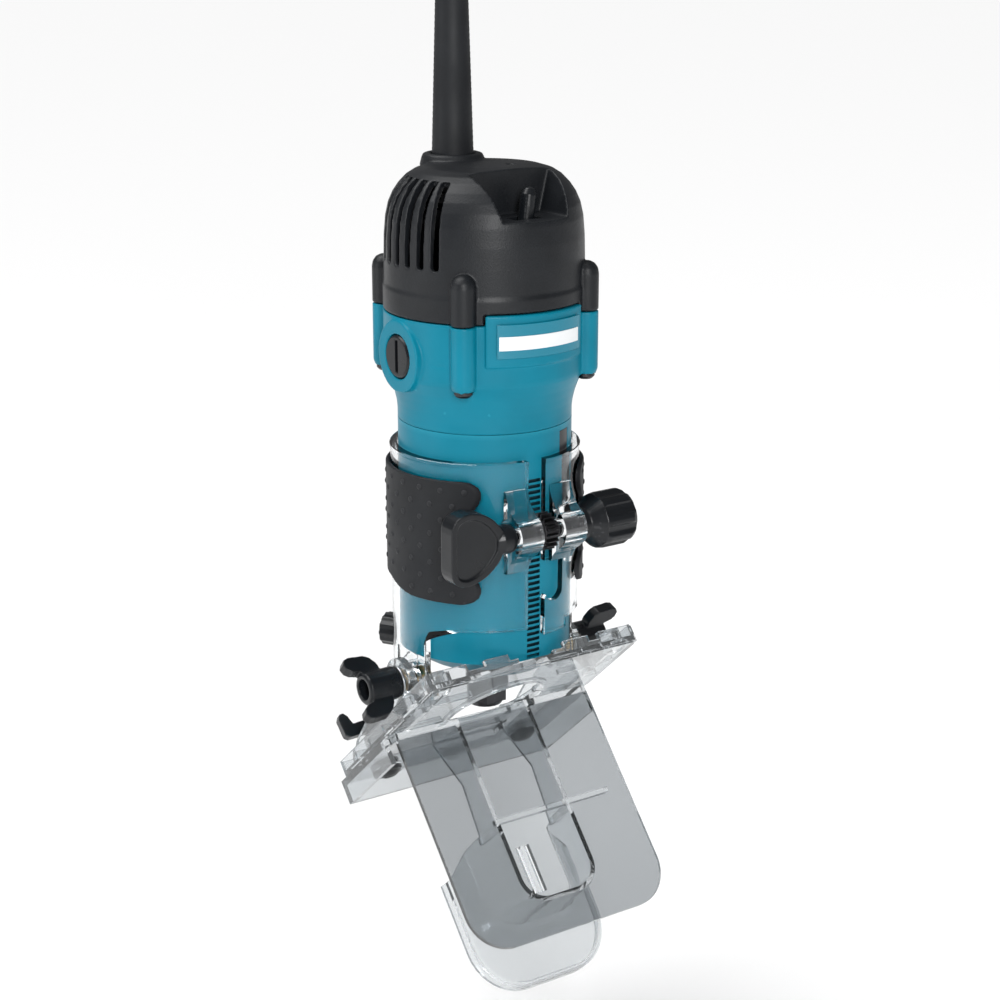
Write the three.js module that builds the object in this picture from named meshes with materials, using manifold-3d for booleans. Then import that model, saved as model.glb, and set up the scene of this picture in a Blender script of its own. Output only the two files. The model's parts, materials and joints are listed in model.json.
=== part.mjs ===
// Trim router with a tilting clear base: a hand-held motor, its rack-and-pinion depth base, the tilting sole
// with its chip deflector, and the supply cord. Millimetres, +Z up along the spindle towards the cord.
// Origin: on the spindle axis at the middle of the grip. Front (-Y) carries the switch, plate and rack.
import * as THREE from 'three';
import { mergeVertices } from 'three/addons/utils/BufferGeometryUtils.js';
import Module from 'manifold-3d';

const wasm = await Module();
wasm.setup();

// ---------------------------------------------------------------- driving dimensions (mm)
const CLEAR = 0.3;              // gap between neighbouring pieces
const BARREL_R = 32.6;          // motor barrel that slides in the base
const WALL = 3;                 // moulded wall of the motor casing
const BAND_R = 37.4;            // wide band under the cover
const BARREL_Z0 = -60;          // nose of the barrel
const NECK_Z = 38;              // where the barrel starts to flare into the band
const JOIN_Z = 75;              // joint between casing and cover
const BOSS_R = 4.5;             // four screw bosses
const BOSS_CENTRE_R = 38;
const BOSS_ANGLES = [45, 135, 225, 315];
const BRUSH_Z = 60.5;           // height of the carbon brushes
const RACK_PITCH = 2.2;         // rack slots in the front of the barrel
const RACK_SLOT = 1.3;
const RACK_DEPTH = 1.6;
const RACK_HALF_W = 2.8;
const RACK_SLOTS = 32;
const RACK_SLOTS_BELOW = 23;     // slots under the one that faces the pinion at rest

const SLEEVE_IN = 32.95;        // clear sleeve of the base
const SLEEVE_OUT = 35.6;
const RIM_Z = 24;
const SLEEVE_Z0 = -66;
const SLIT = { left: -4.4, right: 3.0 };
const PINION_TEETH = 18;
const PINION_PITCH_R = (PINION_TEETH * RACK_PITCH) / (2 * Math.PI);
const PINION_TIP_R = PINION_PITCH_R + 0.7;
const PINION_Z = -2;
const PINION_Y = -(BARREL_R + PINION_PITCH_R);
const CLAMP_R = 7.4;            // clear bosses that carry the pinion

const PIVOT_Z = -65;            // tilt axis, parallel to X, through the spindle axis
const TILT_DEG = 42;            // tilt of the sole in the rest pose
const LEG_R = 7;
const EAR = { inner: 36.6, outer: 39.6 };
const PLATE_HALF_W = 47;        // sole: half width, front and back edge, top and underside
const PLATE = { front: -34.5, back: 57, top: -14.3, under: -16.8, pad: -17.4, padBack: 8.4 };
const RIB_TOP = -10.2;
const SHIELD = { halfW: 44.3, y: 10, t: 2, z1: -107, corner: 16 };
const BORE = { r: 20.4, y: 6 };          // opening of the sole for the chuck and cutter
const FLANGE = { halfW: 47.6, top: -17.1, under: -19.6, rim: -27, back: 58 };

const GUARD_Y = 21;             // cord guard behind the spindle axis
const GUARD_TOP = 188;
const CORD_R = 3.5;
const CORD_BEARING = 32.65;     // the cord falls away in this direction, from +Y towards +X
const ARCH_R = 44.3;
const HANK = { x0: -21, x1: 8, z0: -40, z1: 95, foldR: 32.7 };

// ---------------------------------------------------------------- solid helpers
const rad = (degrees) => (degrees * Math.PI) / 180;

function solid(geometry) {
  const plain = geometry.index ? geometry.toNonIndexed() : geometry.clone();
  for (const name of ['normal', 'uv']) plain.deleteAttribute(name);
  const merged = mergeVertices(plain, 1e-4);
  const index = merged.index.array;
  const position = merged.attributes.position;
  const [a, b, c] = [new THREE.Vector3(), new THREE.Vector3(), new THREE.Vector3()];
  const kept = [];
  let volume = 0;
  for (let i = 0; i < index.length; i += 3) {
    const [p, q, r] = [index[i], index[i + 1], index[i + 2]];
    if (p === q || q === r || r === p) continue;
    a.fromBufferAttribute(position, p);
    b.fromBufferAttribute(position, q);
    c.fromBufferAttribute(position, r);
    volume += a.dot(b.cross(c));
    kept.push(p, q, r);
  }
  if (volume < 0) {
    for (let i = 0; i < kept.length; i += 3) [kept[i], kept[i + 1]] = [kept[i + 1], kept[i]];
  }
  const vertProperties = new Float32Array(position.array);
  return new wasm.Manifold(new wasm.Mesh({ numProp: 3, vertProperties, triVerts: new Uint32Array(kept) }));
}

function placed(geometry, x = 0, y = 0, z = 0) {
  return geometry.translate(x, y, z);
}

// A ring or disc turned about Z; the profile is a list of [radius, z] and is closed here.
function turned(profile, segments = 48) {
  const onAxis = profile[0][0] === 0 && profile.at(-1)[0] === 0;
  const points = profile.map(([r, z]) => new THREE.Vector2(r, z));
  if (!onAxis) points.push(points[0].clone());
  return new THREE.LatheGeometry(points, segments).rotateX(Math.PI / 2);
}

function turnedAlongX(profile, segments = 32) {
  return turned(profile, segments).rotateY(Math.PI / 2);
}

const tube = (rIn, rOut, z0, z1, segments) => turned([[rIn, z0], [rOut, z0], [rOut, z1], [rIn, z1]], segments);
const disc = (r, z0, z1, segments) => turned([[0, z0], [r, z0], [r, z1], [0, z1]], segments);
const rodX = (r, x0, x1, y, z, segments = 20) => placed(turnedAlongX([[0, x0], [r, x0], [r, x1], [0, x1]], segments), 0, y, z);
const tubeX = (rIn, rOut, x0, x1, y, z, segments = 18) =>
  placed(turnedAlongX([[rIn, x0], [rOut, x0], [rOut, x1], [rIn, x1]], segments), 0, y, z);

function block(x0, x1, y0, y1, z0, z1) {
  return placed(new THREE.BoxGeometry(x1 - x0, y1 - y0, z1 - z0), (x0 + x1) / 2, (y0 + y1) / 2, (z0 + z1) / 2);
}

const outline = (points) => new THREE.Shape(points.map(([u, v]) => new THREE.Vector2(u, v)));

function prism(shape, depth, curveSegments = 8) {
  return new THREE.ExtrudeGeometry(shape, { depth, bevelEnabled: false, curveSegments });
}

const prismZ = (shape, z0, z1, curve) => placed(prism(shape, z1 - z0, curve), 0, 0, z0);

// Shape drawn in (y, z), pushed along X.
function prismX(shape, x0, x1, curve) {
  const turn = new THREE.Matrix4().makeBasis(
    new THREE.Vector3(0, 1, 0), new THREE.Vector3(0, 0, 1), new THREE.Vector3(1, 0, 0));
  return placed(prism(shape, x1 - x0, curve).applyMatrix4(turn), x0, 0, 0);
}

// Shape drawn in (x, z), pushed along Y.
function prismY(shape, y0, y1, curve) {
  const turn = new THREE.Matrix4().makeBasis(
    new THREE.Vector3(1, 0, 0), new THREE.Vector3(0, 0, 1), new THREE.Vector3(0, -1, 0));
  return placed(prism(shape, y1 - y0, curve).applyMatrix4(turn), 0, y1, 0);
}

const join = (...geometries) => geometries.map(solid).reduce((sum, next) => sum.add(next));
const cut = (base, ...tools) => tools.map(solid).reduce((left, tool) => left.subtract(tool), base);

function arcPoints(centreX, centreY, r, from, to, steps) {
  return Array.from({ length: steps + 1 }, (_, i) => {
    const angle = rad(from + ((to - from) * i) / steps);
    return [centreX + r * Math.cos(angle), centreY + r * Math.sin(angle)];
  });
}

// Sector of a ring around Z, between two angles counted from the front (-Y) towards +X.
function frontSector(rIn, rOut, from, to, z0, z1, steps = 12) {
  const outer = arcPoints(0, 0, rOut, from - 90, to - 90, steps);
  const inner = arcPoints(0, 0, rIn, to - 90, from - 90, steps);
  return prismZ(outline([...outer, ...inner]), z0, z1);
}

// ---------------------------------------------------------------- materials
const material = (color, roughness, metalness = 0) => new THREE.MeshStandardMaterial({ color, roughness, metalness });
const clearMaterial = (color, roughness) =>
  new THREE.MeshStandardMaterial({ color, roughness, metalness: 0, transparent: true, opacity: 0.35 });
const looks = {
  teal: () => material(0x007d94, 0.5),
  black: () => material(0x1b1c1e, 0.6),
  rubber: () => material(0x17181a, 0.8),
  clear: () => clearMaterial(0xdfe6ea, 0.08),
  steel: () => material(0xa9adb0, 0.35, 1),
  darkSteel: () => material(0x2b2c2e, 0.4, 0.8),
  brass: () => material(0xc99a4b, 0.3, 1),
  copper: () => material(0xb4683a, 0.35, 1),
  plate: () => material(0xe7eaec, 0.4),
  carbon: () => material(0x303032, 0.7),
  nylon: () => material(0xd9d6c8, 0.6),
};

const router = new THREE.Group();

function addMesh(parent, name, shape, look) {
  const { vertProperties, triVerts, numProp } = (shape.getMesh ? shape : solid(shape)).getMesh();
  const geometry = new THREE.BufferGeometry();
  const positions = numProp === 3 ? vertProperties : vertProperties.filter((_, i) => i % numProp < 3);
  geometry.setAttribute('position', new THREE.BufferAttribute(new Float32Array(positions), 3));
  geometry.setIndex(new THREE.BufferAttribute(new Uint32Array(triVerts), 1));
  geometry.computeVertexNormals();
  const mesh = new THREE.Mesh(geometry, looks[look]());
  mesh.name = name;
  parent.add(mesh);
  return mesh;
}

// ---------------------------------------------------------------- motor casing
const bossPlaces = BOSS_ANGLES.map((angle) => [
  BOSS_CENTRE_R * Math.cos(rad(angle)), BOSS_CENTRE_R * Math.sin(rad(angle))]);

function motorHousing() {
  const shell = turned([
    [11, BARREL_Z0], [24, BARREL_Z0], [BARREL_R, BARREL_Z0 + 6], [BARREL_R, NECK_Z], [34, 45.5],
    [BAND_R, 52.5], [BAND_R, JOIN_Z - 0.2], [34.6, JOIN_Z - 0.2], [34.6, 56], [BARREL_R - WALL, 40],
    [BARREL_R - WALL, -52], [22, -57.2], [16.2, -57.2], [16.2, -48.5], [13.3, -48.5], [13.3, -57.5], [11, -57.5],
  ], 40);
  const bosses = bossPlaces.map(([x, y]) => placed(disc(BOSS_R, 52, JOIN_Z - 0.2, 14), x, y, 0));
  const brushSeats = [-1, 1].map((side) => rodX(13.2, Math.min(side * 31, side * 37.9),
    Math.max(side * 31, side * 37.9), 0, BRUSH_Z, 24));
  const panel = frontSector(35, 38.3, -33, 33, 60, 78.6, 10);
  const screwHoles = bossPlaces.map(([x, y]) => placed(disc(2.2, 51, JOIN_Z + 1, 10), x, y, 0));
  const headRoom = bossPlaces.map(([x, y]) => placed(disc(3.7, 40, 52, 12), x, y, 0));
  const capHoles = rodX(8.3, -40, 40, 0, BRUSH_Z, 24);
  const ledgeSlot = [-1, 1].map((side) =>
    frontSector(36.6, 39, side * 60 - 5, side * 60 + 5, 59.2, 60.2, 3));
  const rack = Array.from({ length: RACK_SLOTS }, (_, i) => {
    const z = PINION_Z - RACK_SLOT / 2 + (i - RACK_SLOTS_BELOW) * RACK_PITCH;
    return block(-RACK_HALF_W, RACK_HALF_W, -(BARREL_R + 1), -(BARREL_R - RACK_DEPTH), z, z + RACK_SLOT);
  });
  const scaleGroove = frontSector(BARREL_R - 1.1, BARREL_R + 1, 24, 36.5, -0.3, 32, 4);
  return cut(join(shell, ...bosses, ...brushSeats, panel), ...screwHoles, ...headRoom, capHoles, ...ledgeSlot, ...rack, scaleGroove);
}

const DOME = [[37.3, 84], [36.9, 86.5], [36.6, 104], [35.2, 113.4], [32.4, 119.2], [28.4, 123.8], [22, 127]];
const DOME_IN = [[20.6, 124.2], [26.6, 121.6], [31, 116], [33.4, 106]];

function rearCover() {
  const outer = turned([[0, 76], [37.2, 76], ...DOME, [0, 127]], 40);
  const inner = turned([[0, JOIN_Z - 1], [34.6, JOIN_Z - 1], [34.6, 94], ...DOME_IN.toReversed(), [0, 125]], 40);
  const skin = turned([[0, JOIN_Z + 0.2], [BAND_R, JOIN_Z + 0.2], ...DOME, [0, 127]], 40);
  const trayBox = block(-20, 20, -40, -13, 108.2, 128);
  const tray = solid(outer).intersect(solid(trayBox));
  const bossTops = bossPlaces.map(([x, y]) => placed(turned(
    [[0, JOIN_Z + 0.2], [BOSS_R, JOIN_Z + 0.2], [BOSS_R, 89.4], [3.4, 92.2], [0, 93.4]], 14), x, y, 0));
  const collar = placed(turned([[8.3, 124.5], [12, 124.5], [11.4, 128], [10.6, 129], [8.3, 129]], 28), 0, GUARD_Y, 0);
  const body = cut(solid(skin), inner).add(tray).add(join(...bossTops, collar));
  const recess = prismY(outline([[-13.5, 110.8], [13.5, 110.8], [18, 130], [-18, 130]]), -42, -15.8);
  const leverSlot = block(-5.5, 5.5, -28.4, -21.6, 107, 112);
  const guardHole = placed(disc(8.3, 110, 132, 28), 0, GUARD_Y, 0);
  const screwHoles = bossPlaces.map(([x, y]) => placed(disc(2.2, JOIN_Z - 1, 88.6, 10), x, y, 0));
  const panelNotch = frontSector(34, 40, -34, 34, JOIN_Z - 1, 79, 10);
  const vents = [-1, 1].flatMap((side) => Array.from({ length: 6 }, (_, i) => {
    const slot = prismX(outline([[-1.3, 94], [1.3, 94], [1.3, 124.5], [-1.3, 124.5]]), 25.5, 40);
    return slot.rotateZ(rad(side * (62 + 10 * i) - 90));
  }));
  return cut(body, recess, leverSlot, guardHole, ...screwHoles, panelNotch, ...vents);
}

function brushCap(side) {
  const cap = placed(turnedAlongX([[0, 33.6], [7.2, 33.6], [8, 34.6], [8, 37.4], [7.2, 38.2], [0, 38.2]], 32), 0, 0, BRUSH_Z);
  const slot = block(36.8, 39, -0.9, 0.9, BRUSH_Z - 6, BRUSH_Z + 6);
  const faced = cut(solid(cap), slot);
  return side > 0 ? faced : faced.mirror([1, 0, 0]);
}

function brushHolder(side) {
  const ring = outline([[-3.4, -4.2], [3.4, -4.2], [3.4, 4.2], [-3.4, 4.2]]);
  ring.holes.push(outline([[-2.5, -3.3], [-2.5, 3.3], [2.5, 3.3], [2.5, -3.3]]));
  return placed(prismX(ring, side > 0 ? 15 : -33, side > 0 ? 33 : -15), 0, 0, BRUSH_Z);
}

function carbonBrush(side) {
  return block(side > 0 ? 11.4 : -24, side > 0 ? 24 : -11.4, -2.2, 2.2, BRUSH_Z - 3, BRUSH_Z + 3);
}

function coverScrew([x, y]) {
  const pin = turned([[0, 49.4], [2.4, 49.4], [3.4, 50.4], [3.4, 51.7], [1.9, 51.7], [1.9, 86], [0, 88]], 14);
  const cross = block(-2, 2, -0.5, 0.5, 49, 50.2);
  return cut(solid(pin), cross).translate([x, y, 0]);
}

function bearing(rIn, rOut, z0, z1) {
  const mid = (rIn + rOut) / 2;
  const side = (z, inwards) => [[mid - 1.4, z], [mid - 1.4, z + inwards], [mid + 1.4, z + inwards], [mid + 1.4, z]];
  return turned([[rIn, z0], ...side(z0, 0.6), [rOut, z0], [rOut, z1], ...side(z1, -0.6).reverse(), [rIn, z1]], 18);
}

function bearingBracket() {
  const plate = tube(9.9, 33, 76, 78.2, 32);
  const seat = tube(9.9, 12.4, 76, 83, 24);
  const windows = [0, 90, 180, 270].map((turn) => frontSector(16, 29, turn - 28, turn + 28, 75, 80, 4));
  return cut(join(plate, seat), ...windows);
}

function fieldStator() {
  const ring = outline(arcPoints(0, 0, 28.9, 0, 350, 35));
  const bore = [];
  for (const pole of [0, 180]) {
    bore.push(...arcPoints(0, 0, 17.6, pole - 55, pole + 55, 8), ...arcPoints(0, 0, 24, pole + 66, pole + 114, 4));
  }
  ring.holes.push(outline(bore.reverse()));
  return prismZ(ring, -26, 27);
}

function addMotor(parent) {
  addMesh(parent, 'motor_housing', motorHousing(), 'teal');
  addMesh(parent, 'rear_cover', rearCover(), 'black');
  addMesh(parent, 'name_plate', frontSector(38.6, 39.3, -27, 27, 63.5, 75.6, 14), 'plate');
  addMesh(parent, 'depth_scale', frontSector(BARREL_R - 0.8, BARREL_R - 0.1, 24.5, 36, 0, 31.6, 4), 'black');
  for (const [side, word] of [[-1, 'left'], [1, 'right']]) {
    addMesh(parent, `brush_cap_${word}`, brushCap(side), 'black');
    addMesh(parent, `brush_holder_${word}`, brushHolder(side), 'brass');
    addMesh(parent, `carbon_brush_${word}`, carbonBrush(side), 'carbon');
  }
  bossPlaces.forEach((place, i) => addMesh(parent, `cover_screw_${i + 1}`, coverScrew(place), 'darkSteel'));
  addMesh(parent, 'field_stator', fieldStator(), 'steel');
  addMesh(parent, 'air_baffle', tube(25.6, 29.2, -33, -28, 32), 'nylon');
  addMesh(parent, 'bearing_bracket', bearingBracket(), 'black');
  addMesh(parent, 'rear_bearing', bearing(3.8, 9.6, 76.5, 82.5), 'steel');
  addMesh(parent, 'front_bearing', bearing(6.2, 13, -57.2, -49.2), 'steel');
  addMesh(parent, 'bearing_retainer', tube(7.4, 15.8, -48.2, -47, 24), 'steel');
  const guard = turned([[3.85, 111.5], [9.6, 111.5], [9.6, 114.6], [7.9, 115.2], [7.7, 127], [7.3, 140], [5.9, GUARD_TOP],
    [3.85, GUARD_TOP]], 24);
  addMesh(parent, 'cord_guard', placed(guard, 0, GUARD_Y, 0), 'rubber');
  const saddle = block(-11, 11, GUARD_Y - 4, GUARD_Y + 4, 103, 109);
  addMesh(parent, 'cord_clamp', cut(solid(saddle), placed(disc(3.8, 102, 110, 20), 0, GUARD_Y, 0)), 'black');
}

// ---------------------------------------------------------------- switch
const SWITCH = { y: -25, pivotZ: 102, lean: 8 };

function addSwitch(parent) {
  const body = cut(solid(block(-10, 10, -31, -17.8, 92, 107.6)), block(-6.5, 6.5, -29, -21, 97, 109));
  addMesh(parent, 'switch_body', body, 'black');
  const lever = turned([[0, -3.4], [2.6, -2.2], [2.9, 0], [2.8, 7], [3, 13], [2.9, 17], [1.8, 19.2], [0, 19.8]], 20);
  const toggle = addMesh(parent, 'switch_toggle', lever, 'black');
  toggle.position.set(0, SWITCH.y, SWITCH.pivotZ);
  toggle.rotation.y = rad(SWITCH.lean);
}

// ---------------------------------------------------------------- rotor
function armature() {
  const points = Array.from({ length: 12 }, (_, i) => {
    const mid = i * 30;
    return [...arcPoints(0, 0, 16.8, mid - 12, mid + 12, 3), ...arcPoints(0, 0, 11, mid + 13.5, mid + 16.5, 1)];
  }).flat();
  const core = outline(points);
  core.holes.push(outline(arcPoints(0, 0, 4.4, 360, 18, 19)));
  return prismZ(core, -24, 25);
}

function coolingFan() {
  const hub = turned([[6.3, -46], [24.6, -46], [24.6, -44.4], [9, -44.4], [9, -36], [6.3, -36]], 24);
  const blades = Array.from({ length: 11 }, (_, i) =>
    block(8.6, 24, -0.7, 0.7, -45, -36).rotateZ(rad((i * 360) / 11)));
  return join(hub, ...blades);
}

function colletNut() {
  const hex = prismZ(outline(arcPoints(0, 0, 9, 0, 300, 5)), -80, -66);
  const skirt = turned([[0, -82], [6.6, -82], [8, -79.5], [8, -64.5], [0, -64.5]], 20);
  const bore = turned([[0, -83], [3.6, -83], [5.6, -78], [5.6, -64], [0, -64]], 16);
  return cut(join(hex, skirt), bore);
}

function addRotor(parent) {
  const shaft = turned([[0, -74], [4.9, -74], [5.2, -60], [6.1, -58], [6.1, -36], [4.1, -34], [4.1, 70], [3.7, 72],
    [3.7, 88], [0, 88.6]], 24);
  addMesh(parent, 'rotor_shaft', shaft, 'steel');
  addMesh(parent, 'armature_core', armature(), 'steel');
  addMesh(parent, 'commutator', tube(4.4, 11.1, 52, 69, 24), 'copper');
  addMesh(parent, 'cooling_fan', coolingFan(), 'nylon');
  const cone = tube(3.1, 5.2, -77.6, -74.4, 24);
  addMesh(parent, 'collet_cone', cut(solid(cone), block(-0.4, 0.4, 0, 7, -78, -75.4)), 'steel');
  addMesh(parent, 'collet_nut', colletNut(), 'darkSteel');
}

// ---------------------------------------------------------------- base: clear sleeve with its clamp
function clampBoss(x0, x1) {
  const gusset = outline([[-34, 14], [-35.8, 14], [-37.2, 9.6], [-39.6, 6.6], [-43.4, 3.9],
    ...arcPoints(PINION_Y, PINION_Z, CLAMP_R, 150, 225, 5), [-41.4, -9.6], [-38.2, -12.2], [-36.4, -17], [-34, -17]]);
  return [prismX(gusset, x0, x1), rodX(CLAMP_R, x0, x1, PINION_Y, PINION_Z, 28)];
}

function baseSleeve() {
  const wall = tube(SLEEVE_IN, SLEEVE_OUT, SLEEVE_Z0, RIM_Z, 48);
  const legs = [-1, 1].flatMap((side) => [
    rodX(LEG_R, side > 0 ? 28.6 : -35.9, side > 0 ? 35.9 : -28.6, 0, PIVOT_Z, 28),
    block(side > 0 ? 33.4 : -35.4, side > 0 ? 35.4 : -33.4, -LEG_R, LEG_R, PIVOT_Z, PIVOT_Z + 12)]);
  const clamps = [...clampBoss(-14.4, -4.8), ...clampBoss(4.8, 14.4)];
  const guideBoss = disc(5, 33, 36.1, 20).rotateX(Math.PI / 2).rotateZ(rad(GUIDE_KNOB.bearing));
  const body = join(wall, ...legs, ...clamps, placed(guideBoss, 0, 0, GUIDE_KNOB.z));
  const barrelSpace = disc(SLEEVE_IN, SLEEVE_Z0 + 9.5, RIM_Z + 1, 48);
  const windowEdge = [[-34, -80], [-34, -56], ...arcPoints(-24, -51.5, 11, 165, 90, 6), [SLIT.right - 1.6, -40.5],
    [SLIT.right - 1.6, -44], [15, -44], [15, -40.5], ...arcPoints(24, -51.5, 11, 90, 15, 6), [34, -56], [34, -80]];
  const window = prismY(outline(windowEdge), -40, -10.2);
  const slit = block(SLIT.left, SLIT.right, -60, -30, SLEEVE_Z0 - 1, RIM_Z + 1);
  const notch = prismY(outline([[SLIT.right - 1, -15], [SLIT.right - 1, -31],
    ...arcPoints(8, -27, 4.6, 200, 340, 6), [12.6, -15]]), -40, -30);
  const legHoles = rodX(4.6, -40, 40, 0, PIVOT_Z, 24);
  const shaftHoles = rodX(3.6, -20, 20, PINION_Y, PINION_Z, 24);
  const guideHole = placed(disc(2.4, 30, 40, 12).rotateX(Math.PI / 2).rotateZ(rad(GUIDE_KNOB.bearing)), 0, 0, GUIDE_KNOB.z);
  return cut(body, barrelSpace, window, slit, notch, legHoles, shaftHoles, guideHole);
}

function grip(side) {
  const shape = new THREE.Shape();
  shape.moveTo(31, 17);
  shape.lineTo(-25, 17.6);
  shape.quadraticCurveTo(-29, 17.6, -29.4, 12.6);
  shape.quadraticCurveTo(-29.4, 8.4, -25.8, 3.6);
  shape.lineTo(-25.8, -18);
  shape.quadraticCurveTo(-29.4, -20, -29.4, -24);
  shape.quadraticCurveTo(-29.2, -29.2, -24.6, -29.4);
  shape.lineTo(-6, -29.4);
  shape.lineTo(10, -26);
  shape.lineTo(31, -26);
  const skin = solid(tube(SLEEVE_OUT + CLEAR, SLEEVE_OUT + 1.8, -32, 20, 48));
  return skin.intersect(solid(prismX(shape, side > 0 ? 8 : -40, side > 0 ? 40 : -8, 5)));
}

const GUIDE_KNOB = { bearing: 212, z: -58 };

function knurledKnob() {
  const rim = arcPoints(0, 0, 6.6, 0, 345, 23).map(([x, y], i) => (i % 2 ? [x * 0.93, y * 0.93] : [x, y]));
  const head = prismZ(outline(rim), 36.6, 43.2);
  const stem = disc(2, 33.6, 36.8, 12);
  return join(head, stem);
}

function pinionShaft() {
  const teeth = Array.from({ length: PINION_TEETH }, (_, i) => {
    const mid = (i * 360) / PINION_TEETH + 180;
    const at = (r, offset) => [r * Math.cos(rad(mid + offset)), r * Math.sin(rad(mid + offset))];
    return [at(5.5, -5.4), at(PINION_TIP_R, -2), at(PINION_TIP_R, 2), at(5.5, 5.4)];
  }).flat();
  const gear = placed(prismX(outline(teeth), -2.4, 2.4), 0, PINION_Y, PINION_Z);
  return join(gear, rodX(5.2, SLIT.left + CLEAR, SLIT.right - CLEAR, PINION_Y, PINION_Z, 18), rodX(3.2, -13, 31, PINION_Y, PINION_Z, 20));
}

function adjustingKnob() {
  const body = turnedAlongX([[0, 14.8], [5.7, 14.8], [5.8, 17.6], [8.2, 20], [10.2, 22.2], [10.6, 24.4], [10.6, 34],
    [9.6, 35.8], [7.8, 36.6], [0, 36.6]], 32);
  const flutes = Array.from({ length: 8 }, (_, i) => {
    const angle = rad(i * 45 + 10);
    return rodX(3.4, 22.4, 45, 12.5 * Math.cos(angle), 12.5 * Math.sin(angle), 10);
  });
  return cut(solid(body), ...flutes, rodX(3.5, 10, 31.4, 0, 0, 20)).translate([0, PINION_Y, PINION_Z]);
}

// The paddle's face, drawn in (x, z), with its edge moved in by a margin.
function paddleOutline(margin) {
  const m = margin;
  const face = new THREE.Shape();
  face.moveTo(-20.5 - m, 4.6 - m);
  face.quadraticCurveTo(-25.2 - m, 12.4 - m, -34, 13.2 - m);
  face.quadraticCurveTo(-42 + m, 13.2 - m, -42.2 + m, 6.5);
  face.lineTo(-42.2 + m, -7.5);
  face.quadraticCurveTo(-42 + m, -14 + m, -34.6, -13.8 + m);
  face.quadraticCurveTo(-25.4 - m, -12.6 + m, -20.5 - m, -4.6 + m);
  return face;
}

function clampPaddle() {
  const blade = prismY(paddleOutline(0), -3.8, 3.8, 6);
  const dish = prismY(paddleOutline(2.2), -8, -2.9, 6);
  const neck = turnedAlongX([[0, -23], [3.8, -23], [5.4, -20], [5.5, -17], [5.1, -14.8], [0, -14.8]], 24);
  const stud = rodX(3, -20, -13.4, 0, 0, 16);
  return cut(join(blade, neck, stud), dish).translate([0, PINION_Y, PINION_Z]);
}

function addBase(parent) {
  addMesh(parent, 'base_sleeve', baseSleeve(), 'clear');
  for (const [side, word] of [[-1, 'left'], [1, 'right']]) {
    addMesh(parent, `grip_${word}`, grip(side), 'rubber');
    const span = (a, b) => (side > 0 ? [a, b] : [-b, -a]);
    addMesh(parent, `pivot_bush_${word}`, tubeX(2.3, 4.2, ...span(28.9, 35.6), 0, PIVOT_Z), 'brass');
    const head = rodX(4, ...span(26.6, 28.5), 0, PIVOT_Z, 6);
    const shank = rodX(1.95, ...span(28, 51), 0, PIVOT_Z, 16);
    addMesh(parent, `pivot_bolt_${word}`, join(head, shank), 'steel');
    addMesh(parent, `pivot_washer_${word}`, tubeX(2.3, 6.4, ...span(39.95, 40.75), 0, PIVOT_Z), 'steel');
  }
  addMesh(parent, 'pinion_shaft', pinionShaft(), 'darkSteel');
  addMesh(parent, 'adjusting_knob', adjustingKnob(), 'black');
  addMesh(parent, 'clamp_paddle', clampPaddle(), 'black');
  const guideKnob = addMesh(parent, 'guide_clamp_knob', knurledKnob(), 'black');
  guideKnob.rotation.set(Math.PI / 2, 0, rad(GUIDE_KNOB.bearing), 'ZYX');
  guideKnob.position.z = GUIDE_KNOB.z;
}

// ---------------------------------------------------------------- wing nuts
const WING_TURN = { left: -50, right: 20 };      // degrees from upright, about the pivot

function wingNut(side) {
  const hub = turnedAlongX([[2.35, 41.1], [6, 41.1], [6.4, 42], [6.3, 54], [5.4, 54.8], [4, 54.8], [4, 50], [2.35, 50]], 20);
  const wing = outline([[45.4, 4.5], [46, 8.6], [47.8, 11.4], [50, 12.8], [56.2, 13.4], [58.4, 12.8], [59.4, 11],
    [58.8, 8.8], [57, 7.4], [54, 6.6], [53.4, 4.5]]);
  const turn = side > 0 ? WING_TURN.right : WING_TURN.left;
  const wings = [0, 180].map((half) => prismY(wing, -2.3, 2.3).rotateX(rad(turn + half)));
  const nut = cut(join(hub, ...wings), rodX(4, 50, 62, 0, 0, 20), rodX(2.35, 40, 52, 0, 0, 16));
  return (side > 0 ? nut : nut.mirror([1, 0, 0])).translate([0, 0, PIVOT_Z]);
}

function addWingNuts(parent) {
  addMesh(parent, 'wing_nut_left', wingNut(-1), 'black');
  addMesh(parent, 'wing_nut_right', wingNut(1), 'black');
}

// ---------------------------------------------------------------- tilting sole, drawn flat about the pivot
function ear(x0, x1) {
  const shape = new THREE.Shape();
  shape.moveTo(-8.4, PLATE.top - 0.5);
  shape.lineTo(-8.8, 0);
  shape.absarc(0, 0, 8.8, Math.PI, rad(40), true);
  shape.quadraticCurveTo(24, 0.5, 47, -4.5);
  shape.quadraticCurveTo(54, -6.5, 56.4, PLATE.top - 0.5);
  return prismX(shape, x0, x1, 8);
}

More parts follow.
